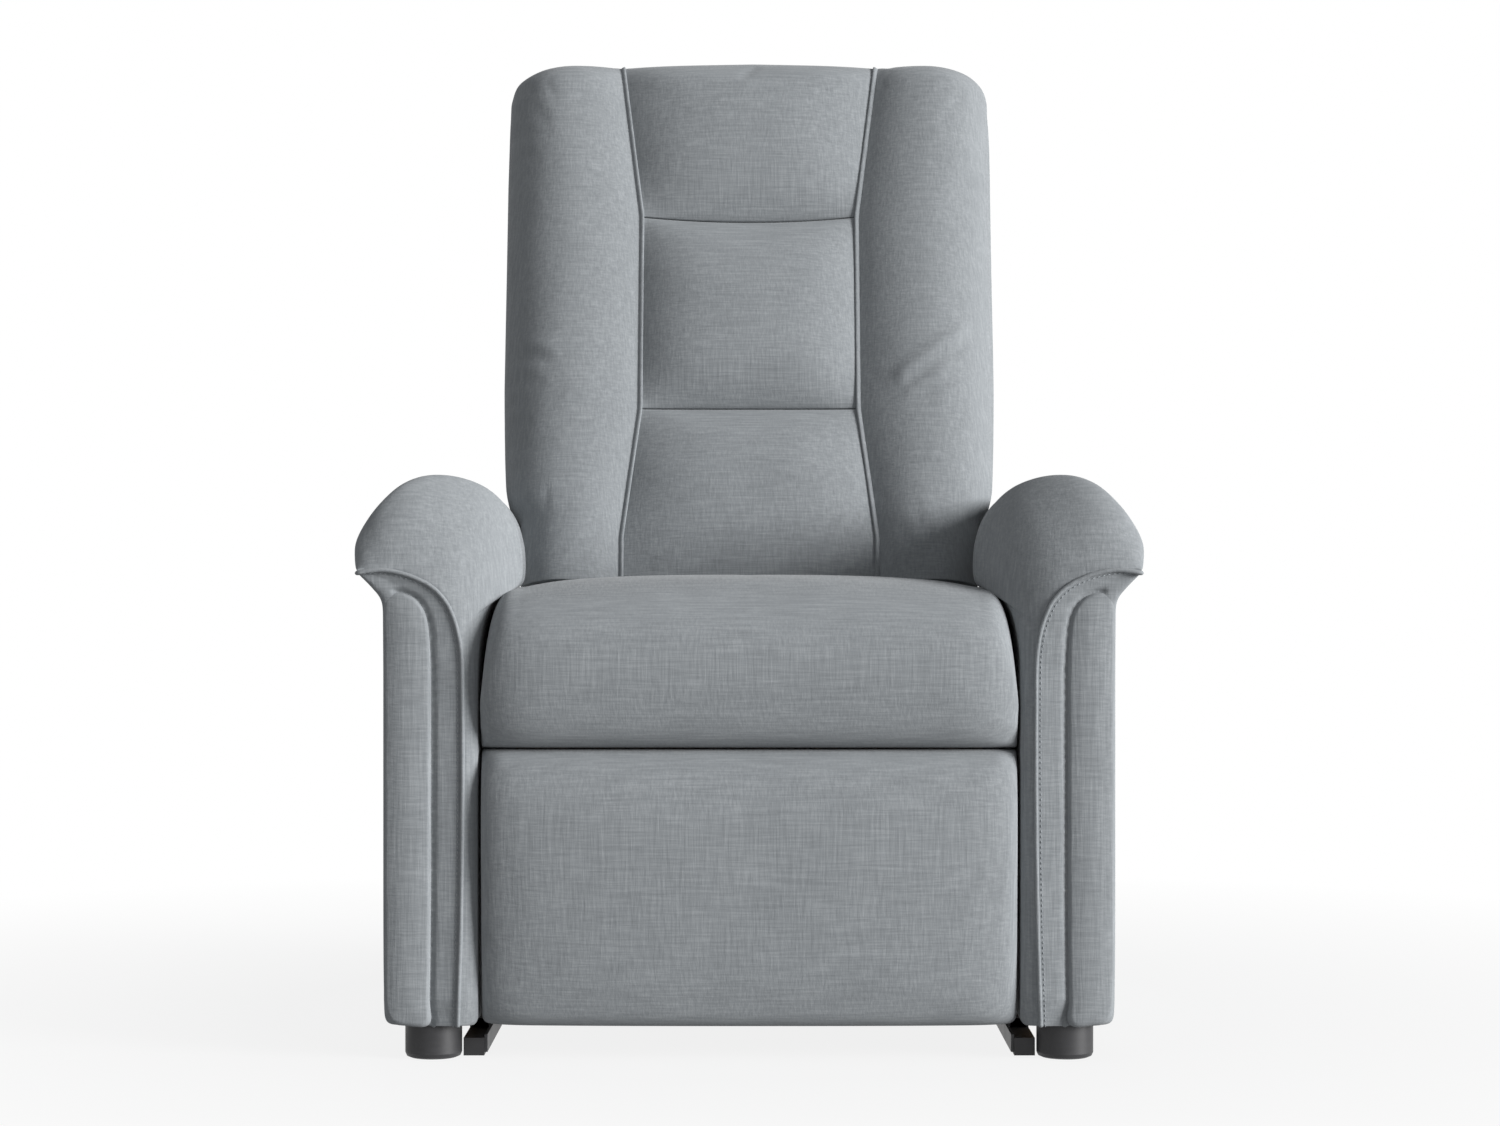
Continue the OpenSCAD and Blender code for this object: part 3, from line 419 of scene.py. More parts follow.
def woven_webbing():
    """Elastic upholstery webbing, woven polypropylene and rubber: ribs 2.5 mm apart across the strap
    under a mottle of threads."""
    material, node, place = new_material("Elastic webbing")
    axes = node("SeparateXYZ", {0: place})
    wave = node("Math", {0: axes.outputs["X"], 1: 2 * np.pi * MM / 2.5}, operation="MULTIPLY")
    ribs = node("Math", {0: wave}, operation="SINE")
    run = node("VectorMath", {0: place, 1: (MM / 1.0, MM / 4, MM / 4)}, operation="MULTIPLY")
    thread = node("TexNoise", {"Vector": run, "Scale": 1.0})
    tone = node("Math", {0: ribs, 1: 0.15, 2: thread}, operation="MULTIPLY_ADD")
    colour = node("ValToRGB", {0: tone}, [(0.25, "#8f8670"), (0.55, "#b9b09a"), (0.8, "#cbc3b0")])
    surface(node, colour, 0.85, (tone, 0.4, 0.0008), IOR=1.5)
    return material


def sewing_thread():
    """Bonded polyester thread, a shade lighter than the cloth: twisted, with a slight gloss."""
    material, node, place = new_material("Bonded sewing thread")
    twist = node("TexNoise", {"Vector": place, "Scale": MM / 0.8, "Detail": 1.0})
    surface(node, node("ValToRGB", {0: twist}, [(0.3, "#7e8387"), (0.7, "#a2a7ab")]), 0.55, IOR=1.5)
    return material


COVER = "Linen weave upholstery"


def cover_material():
    """The upholstery cloth, made once."""
    return bpy.data.materials.get(COVER) or linen_weave(bpy.context.scene.recliner_cloth)


# ---- Shape of the back ----

# Long seams: heights up the back and distances from the middle
SEAM_S = (170.0, LOW_SEAM, HIGH_SEAM, BACK_TOP)
SEAM_X = (144.5, 124.5, 124.0, 148.5)
SEAM_Y = -50.0
SEAM_GAP = 0.6

# Radii of the top: at the front, at the rear and at the upper corners
FRONT_ROLL, REAR_ROLL, CORNER = 30.0, 22.0, 48.0

# Frame: outer side of its posts, its front and where the cushions start to wrap over its top to REAR_Y
POST_X, FRAME_FRONT, WRAP_S, REAR_Y = 228.6, 26.5, 697.0, 77.0

# Bolsters: lower end, heights and distances of the outer side, and the widest place's share of the width
BOLSTER_LOW = 116.0
BOLSTER_S = (BOLSTER_LOW, 196, 214, 232, 350, 600, BACK_TOP)
BOLSTER_X = (257.8, 258.4, 273.5, 276.5, 280, 280, 278)
CREST = 0.53
CREST_RISE, SIDE_FALL = 18.0, 50.0


def seam_at(s):
    """Distance of the long seams from the middle at a height up the back."""
    return np.interp(s, SEAM_S, SEAM_X)


def top_fall(s):
    """How far the front falls back as the back rounds over its top."""
    return rounding(BACK_TOP - s, FRONT_ROLL)


def seam_depth(s):
    """Depth of the long seams: a constant groove that rolls over the top."""
    return SEAM_Y + top_fall(s)


def rear_at(s):
    """Depth of the cushions' rear where they wrap the frame."""
    return REAR_Y - rounding(BACK_TOP - s, REAR_ROLL)


def back_steps(low, high, count, over_top):
    """Heights of the rings, close together at an end that stays sharp and where the top rounds over."""
    start = [low, low + 1.0]
    if not over_top:
        return np.concatenate([start, np.linspace(low + 3, high - 3, count), [high - 1.0, high]])
    turn = BACK_TOP - CORNER * (1 - np.sin(quarter(16)))
    return np.concatenate([start, np.linspace(low + 3, BACK_TOP - CORNER, count)[:-1], turn])


def segment(points, count):
    """Even points along a polyline, without its last one."""
    return resample(points, count)[:-1]


def at_height(ring, s):
    """A ring of an even number of (x, y) points, at a height up the back."""
    return joined(*ring[: len(ring) // 2 * 2].T, s)


# Creases of the bolsters: side, from (x, s), to (x, s), height and width, and how they fade at their ends
FOLDS = (
    (1, (168, 352), (250, 414), 4.6, 7.0),
    (1, (176, 334), (226, 364), 2.8, 7.0),
    (1, (214, 326), (262, 350), 2.0, 7.0),
    (1, (244, 298), (276, 306), 2.0, 6.0),
    (-1, (220, 384), (276, 402), 3.2, 7.0),
    (-1, (234, 360), (274, 372), 1.8, 7.0),
    (-1, (176, 352), (212, 330), 1.6, 8.0),
)
FOLD_FADE = 16.0

# Puckers up the outer edge: their height and pitch
PUCKER, PUCKER_PITCH = 2.2, 27.0


def bolster_folds(points, side):
    """Forward push of a bolster's cover: along each fold, a ridge exp(-(off/width)^2) less half of such a
    ridge beside it; up the outer edge, small puckers from a sine whose phase and height vary slowly."""
    x, y, s = points.T
    push = np.zeros(len(x))
    for which, low, high, height, width in FOLDS:
        if which != side:
            continue
        low, high = np.array(low, float), np.array(high, float)
        run = high - low
        length = np.hypot(*run)
        along = ((x - low[0]) * run[0] + (s - low[1]) * run[1]) / length
        off = ((x - low[0]) * run[1] - (s - low[1]) * run[0]) / length
        window = ease(np.minimum(along, length - along), -FOLD_FADE / 2, FOLD_FADE / 2)
        push += height * window * (ridge(off, width) - 0.5 * ridge(off - 1.6 * width, width))
    near_edge = ease(x, 240, 270) * ease(s, 230, 290)
    ripple = np.sin(s / PUCKER_PITCH * 2 * np.pi + 1.5 * np.sin(s / 61.0) + side)
    push += PUCKER * near_edge * ripple * (0.6 + 0.4 * np.sin(s / 83.0 + side))
    return push * ease(y, 16, -4)


def bolster_rings():
    """Side bolster: a long roll. Across, the front falls from its crest towards the seam as a power
    curve and towards the side as a quarter ellipse; up the back, it rounds over at the outer corner."""
    heights = back_steps(BOLSTER_LOW, BACK_TOP, 62, True)
    sides = np.interp(heights, BOLSTER_S, BOLSTER_X) - rounding(BACK_TOP - heights, CORNER)
    u = np.linspace(0, 1, 26)
    f = quarter(26)
    rings = []
    for s, b in zip(heights, sides):
        a = seam_at(s) + SEAM_GAP
        crest_x = a + CREST * (b - a)
        rise = CREST_RISE - 14.0 * min(top_fall(s) / FRONT_ROLL, 1)
        top = seam_depth(s) - rise
        inner = joined(a + (crest_x - a) * u, top + rise * (1 - u) ** 2.2)
        outer = joined(crest_x + (b - crest_x) * np.sin(f), top + SIDE_FALL * (1 - np.cos(f)))
        groove = inner[0]
        lip = [a, groove[1] + 1.0]
        wall = segment([[a, 20.0], lip], 8)
        front = segment(np.vstack([inner[1:], outer[1:], [b, 12.0]]), 46)
        r = rear_at(s)
        wraps = s > WRAP_S
        behind = [[b, 12.0], [b, r - 16], [b - 2.5, r - 8], [b - 8, r - 2.5], [b - 16, r],
                  [a if wraps else POST_X, r], [a + 1 if wraps else POST_X, FRAME_FRONT], [a, FRAME_FRONT],
                  [a, 20.0]]
        rings.append(at_height(np.vstack([wall, [lip, groove], front, segment(behind, 52)]), s))
    return rings


def swell_head(w):
    """Headrest: a half parabola from its seam to full at 0.45 of its height."""
    return 1 - np.clip(1 - w / 0.45, 0, 1) ** 2


def swell_centre(w):
    """Centre cushion: a power 2.2 curve over its lower third and a square root over its upper third."""
    return (1 - np.clip(1 - w / 0.32, 0, 1) ** 2.2) * np.clip((1 - w) / 0.3, 0, 1) ** 0.5


def swell_low(w):
    """Lower cushion: full at 0.75 of its height, down to nothing at the seam and falling away below."""
    low = 1 - 1.35 * np.clip((0.75 - w) / 0.75, 0, 1) ** 1.4
    return np.where(w > 0.75, np.clip((1 - w) / 0.25, 0, 1) ** 0.5, low)


def column_rings(low, high, puff, over_top, swell, sag_low, sag_high):
    """Centre cushion: across, the front falls to the seams as a power 3.5 curve; up the back it
    follows the given swell. Its seams are nicked in by 3 mm, and its ends sag in a parabola across."""
    u = np.linspace(-1, 1, 61)
    u = np.sin(u * np.pi / 2) * 0.35 + u * 0.65
    shape = 1 - np.abs(u) ** 3.5
    mid_y = 12.0
    rings = []
    for h in back_steps(low, high, 34, over_top):
        w = (h - low) / (high - low)
        edge = h - low if over_top else min(h - low, high - h)
        nick = 3.0 * np.exp(-min(edge, 99) / 3.0)
        a, g = seam_at(h) - SEAM_GAP, seam_depth(h)
        roll = 1 - 0.8 * min(top_fall(h) / FRONT_ROLL, 1)
        y = g - (puff * swell(w) * roll - nick) * shape
        sag = (sag_low * (1 - w) ** 2 + sag_high * w**2) * (1 - u**2)
        rear = rear_at(h) if h > WRAP_S else FRAME_FRONT
        front = joined(u * a, y, h - sag)
        wall = segment([[a, mid_y, h], [a, g + 1.0, h]], 7)
        back = segment([[a, mid_y, h], [a, rear, h], [-a, rear, h], [-a, mid_y, h]], 53)
        rings.append(np.vstack([
            wall * (-1, 1, 1), [[-a, g + 1.0, h], front[0]], segment(front[1:-1], 49), front[-2:],
            [[a, g + 1.0, h]], wall[::-1], back[1:]]))
    return rings


def tuck_rings():
    """Cover below a bolster: a thin pad that runs down behind the seat, with a low crown across."""
    b, side_y, rear_y = 225.5, -10.0, 24.0
    u = np.linspace(-1, 1, 31)
    rings = []
    for s in np.concatenate([[34.0, 35.0], np.linspace(38, 112, 12), [114.6, 115.4]]):
        a = seam_at(s) + SEAM_GAP + 0.2
        front = joined(a + (b - a) * (u + 1) / 2, -30.0 - 9.0 * (1 - np.abs(u) ** 4))
        rear = segment([[b, side_y], [b, rear_y], [a, rear_y], [a, side_y]], 32)
        rings.append(at_height(np.vstack([[[a, side_y]], segment(front, 32), front[-1:], rear]), s))
    return rings


def free_on_back(points, s_low, s_high, reach=16.0):
    """Where a back cushion may swell: its front and top, easing to nothing at its seams and ends."""
    x, y, s = points.T
    near = ease(np.abs(np.abs(x) - seam_at(s)), 0, reach)
    return near * ease(s, s_low, s_low + reach) * ease(s, s_high, s_high - reach) * ease(y, 10, -10)


# ---- Settings ----


class ClothLook(bpy.types.PropertyGroup):
    """Colours and thread of the cover"""

    ground: StringProperty(name="Ground", description="Even colour of the cloth, sRGB hex",
                           default="#8e9295")
    light_thread: StringProperty(name="Light thread", description="Lightest slub, sRGB hex",
                                 default="#b0b4b7")
    dark_thread: StringProperty(name="Dark thread", description="Darkest slub, sRGB hex", default="#6c7073")
    thread_spacing: FloatProperty(name="Thread spacing", description="Drawn thread spacing in mm",
                                  default=1.5, min=0.5, max=4.0)
    slub_length: FloatProperty(name="Slub length", description="Length of a slub in mm", default=26.0,
                               min=5.0, max=80.0)
    thread_contrast: FloatProperty(name="Thread contrast", description="How far threads differ",
                                   default=0.6, min=0.0, max=3.0)


class PadSettings(bpy.types.PropertyGroup):
    """How the pads swell"""

    pressure: FloatProperty(name="Pressure", description="Pressure inside the pads", default=4.0,
                            min=0, max=12)
    back_move: FloatProperty(name="Back move", description="Most that a back cover moves, in mm",
                             default=8.0, min=0, max=30)
    seat_move: FloatProperty(name="Seat move", description="Most that the seat cover moves, in mm",
                             default=3.0, min=0, max=30)
    footrest_move: FloatProperty(name="Footrest move", default=2.0, min=0, max=30,
                                 description="Most that the footrest cover moves, in mm")


class SeamSettings(bpy.types.PropertyGroup):
    """Welts and stitches"""

    welt_radius: FloatProperty(name="Welt radius", description="Radius of the arm welt in mm", default=2.1,
                               min=1.0, max=6.0)
    twin_gap: FloatProperty(name="Twin welt gap", default=3.6, min=2.0, max=8.0,
                            description="Distance between the back's twin welts in mm")
    stitch_pitch: FloatProperty(name="Stitch pitch", description="Distance between stitches in mm",
                                default=5.0, min=2.0, max=10.0)


class StageSettings(bpy.types.PropertyGroup):
    """Camera and light"""

    lens: FloatProperty(name="Lens", description="Focal length in mm", default=80.0, min=20, max=200)
    distance: FloatProperty(name="Distance", description="Camera to the arm fronts", default=3.19,
                            min=1, max=8, unit="LENGTH")
    height: FloatProperty(name="Height", description="Camera above the floor", default=0.4775, min=0, max=3,
                          unit="LENGTH")
    key: FloatProperty(name="Key", description="Strength of the key light", default=4.7, min=0, max=20)
    sky: FloatProperty(name="Sky", description="Strength of the even light", default=0.33, min=0, max=3)


# ---- Back ----


class RECLINER_OT_bolsters(bpy.types.Operator):
    """Builds the two side bolsters of the back and the covers that tuck down below them"""

    bl_idname = "recliner.bolsters"
    bl_label = "Back bolsters"

    def execute(self, context):
        points, *faces = closed_loft(bolster_rings())
        tuck = closed_loft(tuck_rings())
        for side, tag in SIDES:
            folded = points.copy()
            folded[:, 1] -= bolster_folds(points, side)
            obj = upholster(f"bolster_{tag}", (folded, *faces), "back", side, [f"back_bolster_{tag}"])
            free = free_on_back(folded, 130.0, BACK_TOP + 40) * ease(folded[:, 0], 300, 280)
            inflate(obj, free, "back_move", 1.5)
            upholster(f"bolster_tuck_{tag}", tuck, "back", side)
        return {"FINISHED"}


PAD_GAP = 0.4


class RECLINER_OT_column(bpy.types.Operator):
    """Builds the headrest, centre and lower cushions"""

    bl_idname = "recliner.column"
    bl_label = "Centre cushions"

    def execute(self, context):
        high, low = HIGH_SEAM, LOW_SEAM
        # First word of the pad's and its CAD node's names, then the values of column_rings
        for name, *shape in (
            ("headrest", high + PAD_GAP, BACK_TOP, 20.0, True, swell_head, 6.0, 0.0),
            ("centre", low + PAD_GAP, high - PAD_GAP, 21.0, False, swell_centre, 0.0, 6.0),
            ("lower", 30.0, low - PAD_GAP, 19.0, False, swell_low, 0.0, 0.0),
        ):
            mesh = closed_loft(column_rings(*shape))
            obj = upholster(f"{name}_pad", mesh, "back", replaces=[f"{name}_cushion"])
            # The headrest is free up to its top, the others ease off at both seams
            bottom, top, _, over_top, *_ = shape
            free = free_on_back(mesh[0], bottom, top + (60 if over_top else 0))
            inflate(obj, free, "back_move", 4.0)
        return {"FINISHED"}


# Rear cover: its ends, and its right edge from (x, s) at the foot to the top
REAR_LOW, REAR_HIGH = -38.0, 708.0
REAR_EDGE = np.array([
    (227.5, REAR_LOW), (227.5, 40), (227.5, 108), (237, 122), (246, 138), (246, 198), (255, 214), (264, 232),
    (264, 400), (264, 660), (261, 695), (244, REAR_HIGH), (200, REAR_HIGH)])
REAR_WELT_RADIUS, REAR_WELT_Y = 2.6, 79.5


class RECLINER_OT_rear(bpy.types.Operator):
    """Builds the rear cover of the back and its welt"""

    bl_idname = "recliner.rear"
    bl_label = "Rear cover"

    def execute(self, context):
        low, high, radius = REAR_LOW, REAR_HIGH, 14.0
        turn = radius * (1 - np.cos(quarter(7)))
        s = np.concatenate([low + turn, np.linspace(low + 24, high - 24, 60), high - turn[::-1]])
        half = np.interp(s, (low, 112, 132, 204, 224, high), (227.5, 227.5, 246, 246, 264, 264))
        edge = rounding(np.minimum(s - low, high - s), radius)
        # Across: a flat face whose edges turn in as a power 14 curve; the inner side clears the frame
        u = np.sin(np.linspace(-np.pi / 2, np.pi / 2, 61))
        rim_y, edge_y, puff, inner_y, inner_x = 77.8, 79.0, 5.0, 71.0, 226.0
        rings = []
        for h, w, e in zip(s, half - edge, edge):
            y = edge_y + puff * (1 - np.abs(u) ** 14) ** 0.5 * (1 - e / 20.0)
            outer = np.vstack([[-w, rim_y], joined(u * w, y), [w, rim_y]])
            inner = [[w, rim_y], [inner_x + 5, rim_y], [inner_x, inner_y], [-inner_x, inner_y],
                     [-inner_x - 5, rim_y], [-w, rim_y]]
            rings.append(at_height(np.vstack([segment(outer, 44), segment(inner, 44)]), h))
        upholster("rear_cover", closed_loft(rings, 2), "back", replaces=["back_rear_panel"])

        path = smooth_curve(np.vstack([REAR_EDGE * (-1, 1), [[0, high]], REAR_EDGE[::-1]]), 320)
        path = joined(path[:, 0], REAR_WELT_Y, path[:, 1])
        rings = sweep(path, (0.0, 1.0, 0.0), round_profile(REAR_WELT_RADIUS))
        upholster("rear_welt", closed_loft(rings, 1), "back", levels=0)
        return {"FINISHED"}


class RECLINER_OT_back_welts(bpy.types.Operator):
    """Builds the twin welts in the long seams of the back"""

    bl_idname = "recliner.back_welts"
    bl_label = "Back welts"

    def execute(self, context):
        # The welts run up the seam, turn over the top just below it and go to the rear
        low, top, turn = 96.0, BACK_TOP - 5.4, BACK_TOP - FRONT_ROLL
        s = np.concatenate([np.linspace(low, turn, 150),
                            top - (top - turn) * (1 - np.sin(np.linspace(0.05, np.pi / 2, 20)))])
        over = joined(seam_at(BACK_TOP), np.linspace(-20, 56, 24)[1:], top)
        path = np.vstack([joined(seam_at(s), seam_depth(s) - 0.2, s), over])
        out = unit(np.cross(np.gradient(path, axis=0), (1.0, 0.0, 0.0)))
        # Two humps side by side on a flat foot
        r = context.scene.recliner_seams.twin_gap / 2
        a = np.linspace(np.pi, 0, 7)
        hump = joined(r * np.cos(a) * 0.92, 0.5 + r * 1.05 * np.sin(a))
        profile = np.vstack([hump + [-r, 0], hump[1:] + [r, 0], [[1.9 * r, -5.0], [-1.9 * r, -5.0]]])
        welt = closed_loft(sweep(path, out, profile)[:, : len(profile) // 2 * 2], 1)
        for side, tag in SIDES:
            upholster(f"back_welt_{tag}", welt, "back", side)
        return {"FINISHED"}


# ---- Seat and footrest ----

# Section of the seat, (v, z): under the front, up over the waterfall, along the top and down the rear
SEAT_KEYS = [
    (60, 333), (60, 302), (24, 300), (6, 300.4), (-7, 304), (-17, 313), (-24.5, 330), (-29, 356),
    (-30.5, 390), (-27, 414), (-18, 433), (-3, 448), (20, 457.5), (52, 461.5), (110, 463), (240, 461),
    (380, 459), (455, 455), (485, 446), (498, 428), (500, 395), (500, 350), (490, 334), (300, 333)]
SEAT_FLOOR, SEAT_RISE = 333.0, 130.0
SEAT_REACH, SEAT_HALF = 257.8, 257.5
SHOULDER_X = 221.0

# Corner tucks of the seat: how deep, where they stand out and where they dip
TUCK, TUCK_Z, DIP_Z = 3.0, 311.0, 323.0


def seat_top(x):
    """Crown of the seat across: nearly flat, then a superellipse shoulder down to the sides."""
    a = np.abs(x)
    u = np.clip((a - SHOULDER_X) / 37.2, 0, 1)
    shoulder = np.maximum(300 + 154 * (1 - u**3.8) ** 0.5, 348)
    return np.where(a < SHOULDER_X, 463 - 9 * (a / SHOULDER_X) ** 3, shoulder)


class RECLINER_OT_seat(bpy.types.Operator):
    """Builds the seat cushion with its crown, waterfall front and corner tucks"""

    bl_idname = "recliner.seat"
    bl_label = "Seat cushion"

    def execute(self, context):
        outline = resample(smooth_curve(SEAT_KEYS + [SEAT_KEYS[0]], 700), 191)[:-1]
        turn = np.pi / 2 * 0.86
        across = SEAT_REACH * np.sin(np.linspace(-1, 1, 99) * turn) / np.sin(turn)
        across[[0, -1]] = -SEAT_REACH, SEAT_REACH
        rings = []
        for x in across:
            v, z = outline.T
            rise = (float(seat_top(x)) - SEAT_FLOOR) / SEAT_RISE
            z = np.where(z > SEAT_FLOOR, SEAT_FLOOR + (z - SEAT_FLOOR) * rise, z)
            # The front falls back as a cube, and at the sides as a superellipse
            shoulder = ease(abs(x), 188.0, SEAT_REACH)
            pull = 4.0 * (abs(x) / SEAT_HALF) ** 3 + 22.0 * curl(shoulder, 2.6)
            rings.append(joined(x, v + pull * ease(v, 40, -20), z))
        points, *faces = closed_loft(rings)
        px, pv, pz = points.T
        # Corner tucks: short folds that run in from each side along the crease under the front
        corner = ease(np.abs(px), 222, 256) ** 1.5
        tuck = ridge(pz - TUCK_Z, 5.0) - 0.6 * ridge(pz - DIP_Z, 6.0)
        points[:, 1] += np.where(pv < 20, TUCK * corner * tuck, 0)
        obj = upholster("seat_pad", (points, *faces), "chassis", replaces=["seat_cushion"])
        free = (np.clip((150 - np.abs(np.abs(px) - 100)) / 60, 0, 1) * ease(np.abs(px), 248, 208)
                * ease(pz, 330, 360) * ease(pv, 490, 430))
        inflate(obj, free, "seat_move", 8.0)
        return {"FINISHED"}


# Front of the footrest panel, (z, v), from its lower edge to its upper edge
PANEL_KEYS = [(33.0, 8), (34.5, 2), (39, -4.5), (50, -10.5), (75, -16), (110, -20.5), (160, -25), (205, -28),
              (240, -28), (265, -25), (282, -19), (292, -11.5), (297, -4), (298.4, 6)]
PANEL_HALF, PANEL_REAR = 258.4, 35.6

# Fold at each upper corner of the panel: how far it stands out, and where it is across and up
PANEL_FOLD, PANEL_FOLD_X, PANEL_FOLD_Z = 2.6, 240.0, 290.0


class RECLINER_OT_footrest(bpy.types.Operator):
    """Builds the footrest pad"""

    bl_idname = "recliner.footrest"
    bl_label = "Footrest pad"

    def execute(self, context):
        z, front = resample(smooth_curve(PANEL_KEYS, 400), 60).T
        half = PANEL_HALF - rounding(z - 33.0, 8.0) - rounding(298.5 - z, 3.0)
        a = np.linspace(-np.pi / 2, np.pi / 2, 121)
        u = 0.5 * np.sin(a) + 0.5 * a / (np.pi / 2)
        # Across: a cube over the whole width, and a superellipse at the sides
        shoulder = ease(np.abs(u), 0.83, 1.0)
        crown = 9.0 * np.abs(u) ** 3 + 14.0 * curl(shoulder, 2.2)
        rings = []
        for h, f, w in zip(z, front, half):
            fold = ridge(np.abs(u * w) - PANEL_FOLD_X, 8.0) * ridge(h - PANEL_FOLD_Z, 6.0)
            v = f + crown - PANEL_FOLD * fold
            v[[0, -1]] = 30.0
            ring = np.vstack([segment(joined(u * w, v), 92),
                              segment([[w, PANEL_REAR], [-w, PANEL_REAR]], 92)])
            rings.append(at_height(ring, h))
        mesh = closed_loft(rings, 4)
        px, pv, pz = mesh[0].T
        obj = upholster("footrest_cover", mesh, "footrest", replaces=["footrest_pad"])
        free = ease(np.abs(px), 250, 220) * ease(pz, 38, 68) * ease(pz, 293, 263) * ease(pv, 20, 10)
        inflate(obj, free, "footrest_move", 8.0)
        return {"FINISHED"}


# ---- Arms ----

# Rows along the arm's front seam: the seam point, the point of the inner outline that the cover runs
# to, how far the cover falls back on the way, and the point of the outer outline for the side cover.
ARM_ROWS = np.array([
    # seam x, z      inner x, z      fall   outer x, z
    (374.5, 467.9, 376, 471, 6, 374.3, 467.5),
    (366, 469.5, 378.3, 482, 16, 371.5, 464.5),
    (357, 470.6, 378, 497, 21, 367.5, 460.5),
    (349.6, 470.8, 370.5, 514, 25, 363.5, 456.5),
    (341, 469.8, 357, 533, 27, 359.5, 452),
    (333, 468, 338, 551.5, 33, 356, 448),
    (325.7, 466, 318, 561, 40, 353.2, 443.5),
    (316, 462, 297, 563, 48, 351.5, 438),
    (308, 458, 276, 559.5, 55, 351, 431),
    (301, 453, 256, 551, 61, 351, 424),
    (296, 448.5, 240, 537, 67, 351, 417),
    (291.5, 443, 229, 519, 71, 351, 410),
    (287.5, 437, 223, 498, 72, 351, 403),
    (284.5, 430.5, 220.8, 477, 71, 351, 397),
    (282, 424, 222, 460, 66, 351, 391),
    (280, 418, 229, 451.5, 53, 351, 386),
    (278.5, 412, 244.5, 442.5, 36, 351, 381),
    (277, 405, 253, 427, 19, 351, 376),
    (276, 398, 257.5, 406, 14, 351, 371),
    (275, 388, 259.4, 386, 11, 351, 366),
    (274.3, 370, 259.6, 368, 9, 351, 356),
    (274, 330, 260, 330, 8, 351, 326),
    (274, 270, 260, 270, 8, 351, 270),
    (274.6, 200, 260, 200, 8, 351, 200),
    (275.8, 130, 260, 130, 8, 351, 130),
    (277.4, 75, 260, 75, 8, 351, 75),
    (278.4, 50, 260, 50, 8, 351, 50),
    (278.9, 40, 260.6, 39.5, 8, 350.2, 39.5),
    (279.1, 35, 264, 34, 8, 346.5, 34.4),
    (279.2, 33.4, 270, 33, 8, 336, 33.2),
])

# The roll: its middle, its inner reach at the front and beside the back, and its underside
ROLL_MIDDLE, ROLL_IN, BESIDE_BACK, ROLL_UNDER = 300.0, 220.8, 284.0, 449.0
ARM_INNER = 260.0

# Rear of the arm and the radius that it is closed with
ARM_REAR, REAR_TURN = 708.0, 16.0

# Band between the front seam and the post pad: how far it falls back, over which share of its width
BAND_FALL, BAND_SHARE = 3.2, 0.42

# Groove round the post pad: depth and width
GROOVE, GROOVE_WIDE = 4.0, 2.6

# Steps of an arm cover: along its seam, over the front, along the arm and over the rear
SEAM_STEPS, FRONT_STEPS, ARM_STEPS, REAR_STEPS = 180, 34, 24, 9


def draw_in(points, v):
    """Moves the inner side of the roll outwards on the way back: by a share of the depth at first, and by
    a smooth step between v 300 and 500 to its place beside the back. Below the roll it stops at the
    arm's inner face."""
    x, z = points[..., 0], points[..., 1]
    t = ease(v, 300, 500)
    t = np.maximum(t * t * (3 - 2 * t), np.clip((v - 60.0) / 940.0, 0, 0.26))
    inside = ease(x, ROLL_MIDDLE, ROLL_IN)
    roll = np.where(x < ROLL_MIDDLE, ROLL_MIDDLE - inside * (ROLL_MIDDLE - BESIDE_BACK), x)
    goal = np.where(z > ROLL_UNDER, roll, np.maximum(x, ARM_INNER))
    return joined(x + (goal - x) * t, z)


def seam_v(z):
    """Depth of the front seam: forward on the crest of the roll, a little back down the arm."""
    return np.interp(z, (34, 60, 380, 440, 470), (3, -3.5, -4.5, -8, -9.5))


def post_outline(count):
    """Outline of the front post pad, (x, z), from the middle of its top round by the inner side."""
    keys = [(331, 449.4), (321, 445.5), (313, 437.5), (307.5, 425), (304.8, 404), (304, 370), (304, 250),
            (304.5, 120), (305.5, 60), (306.5, 34.5), (330, 34.2), (338, 34.6), (344.5, 38), (348.5, 46),
            (350.2, 62), (350.9, 120), (351, 250), (351, 370), (351, 432), (350.6, 441), (349, 446.5),
            (345, 449.5), (338, 450.2)]
    return segment(smooth_curve(keys + keys[:1], 600), count + 1)


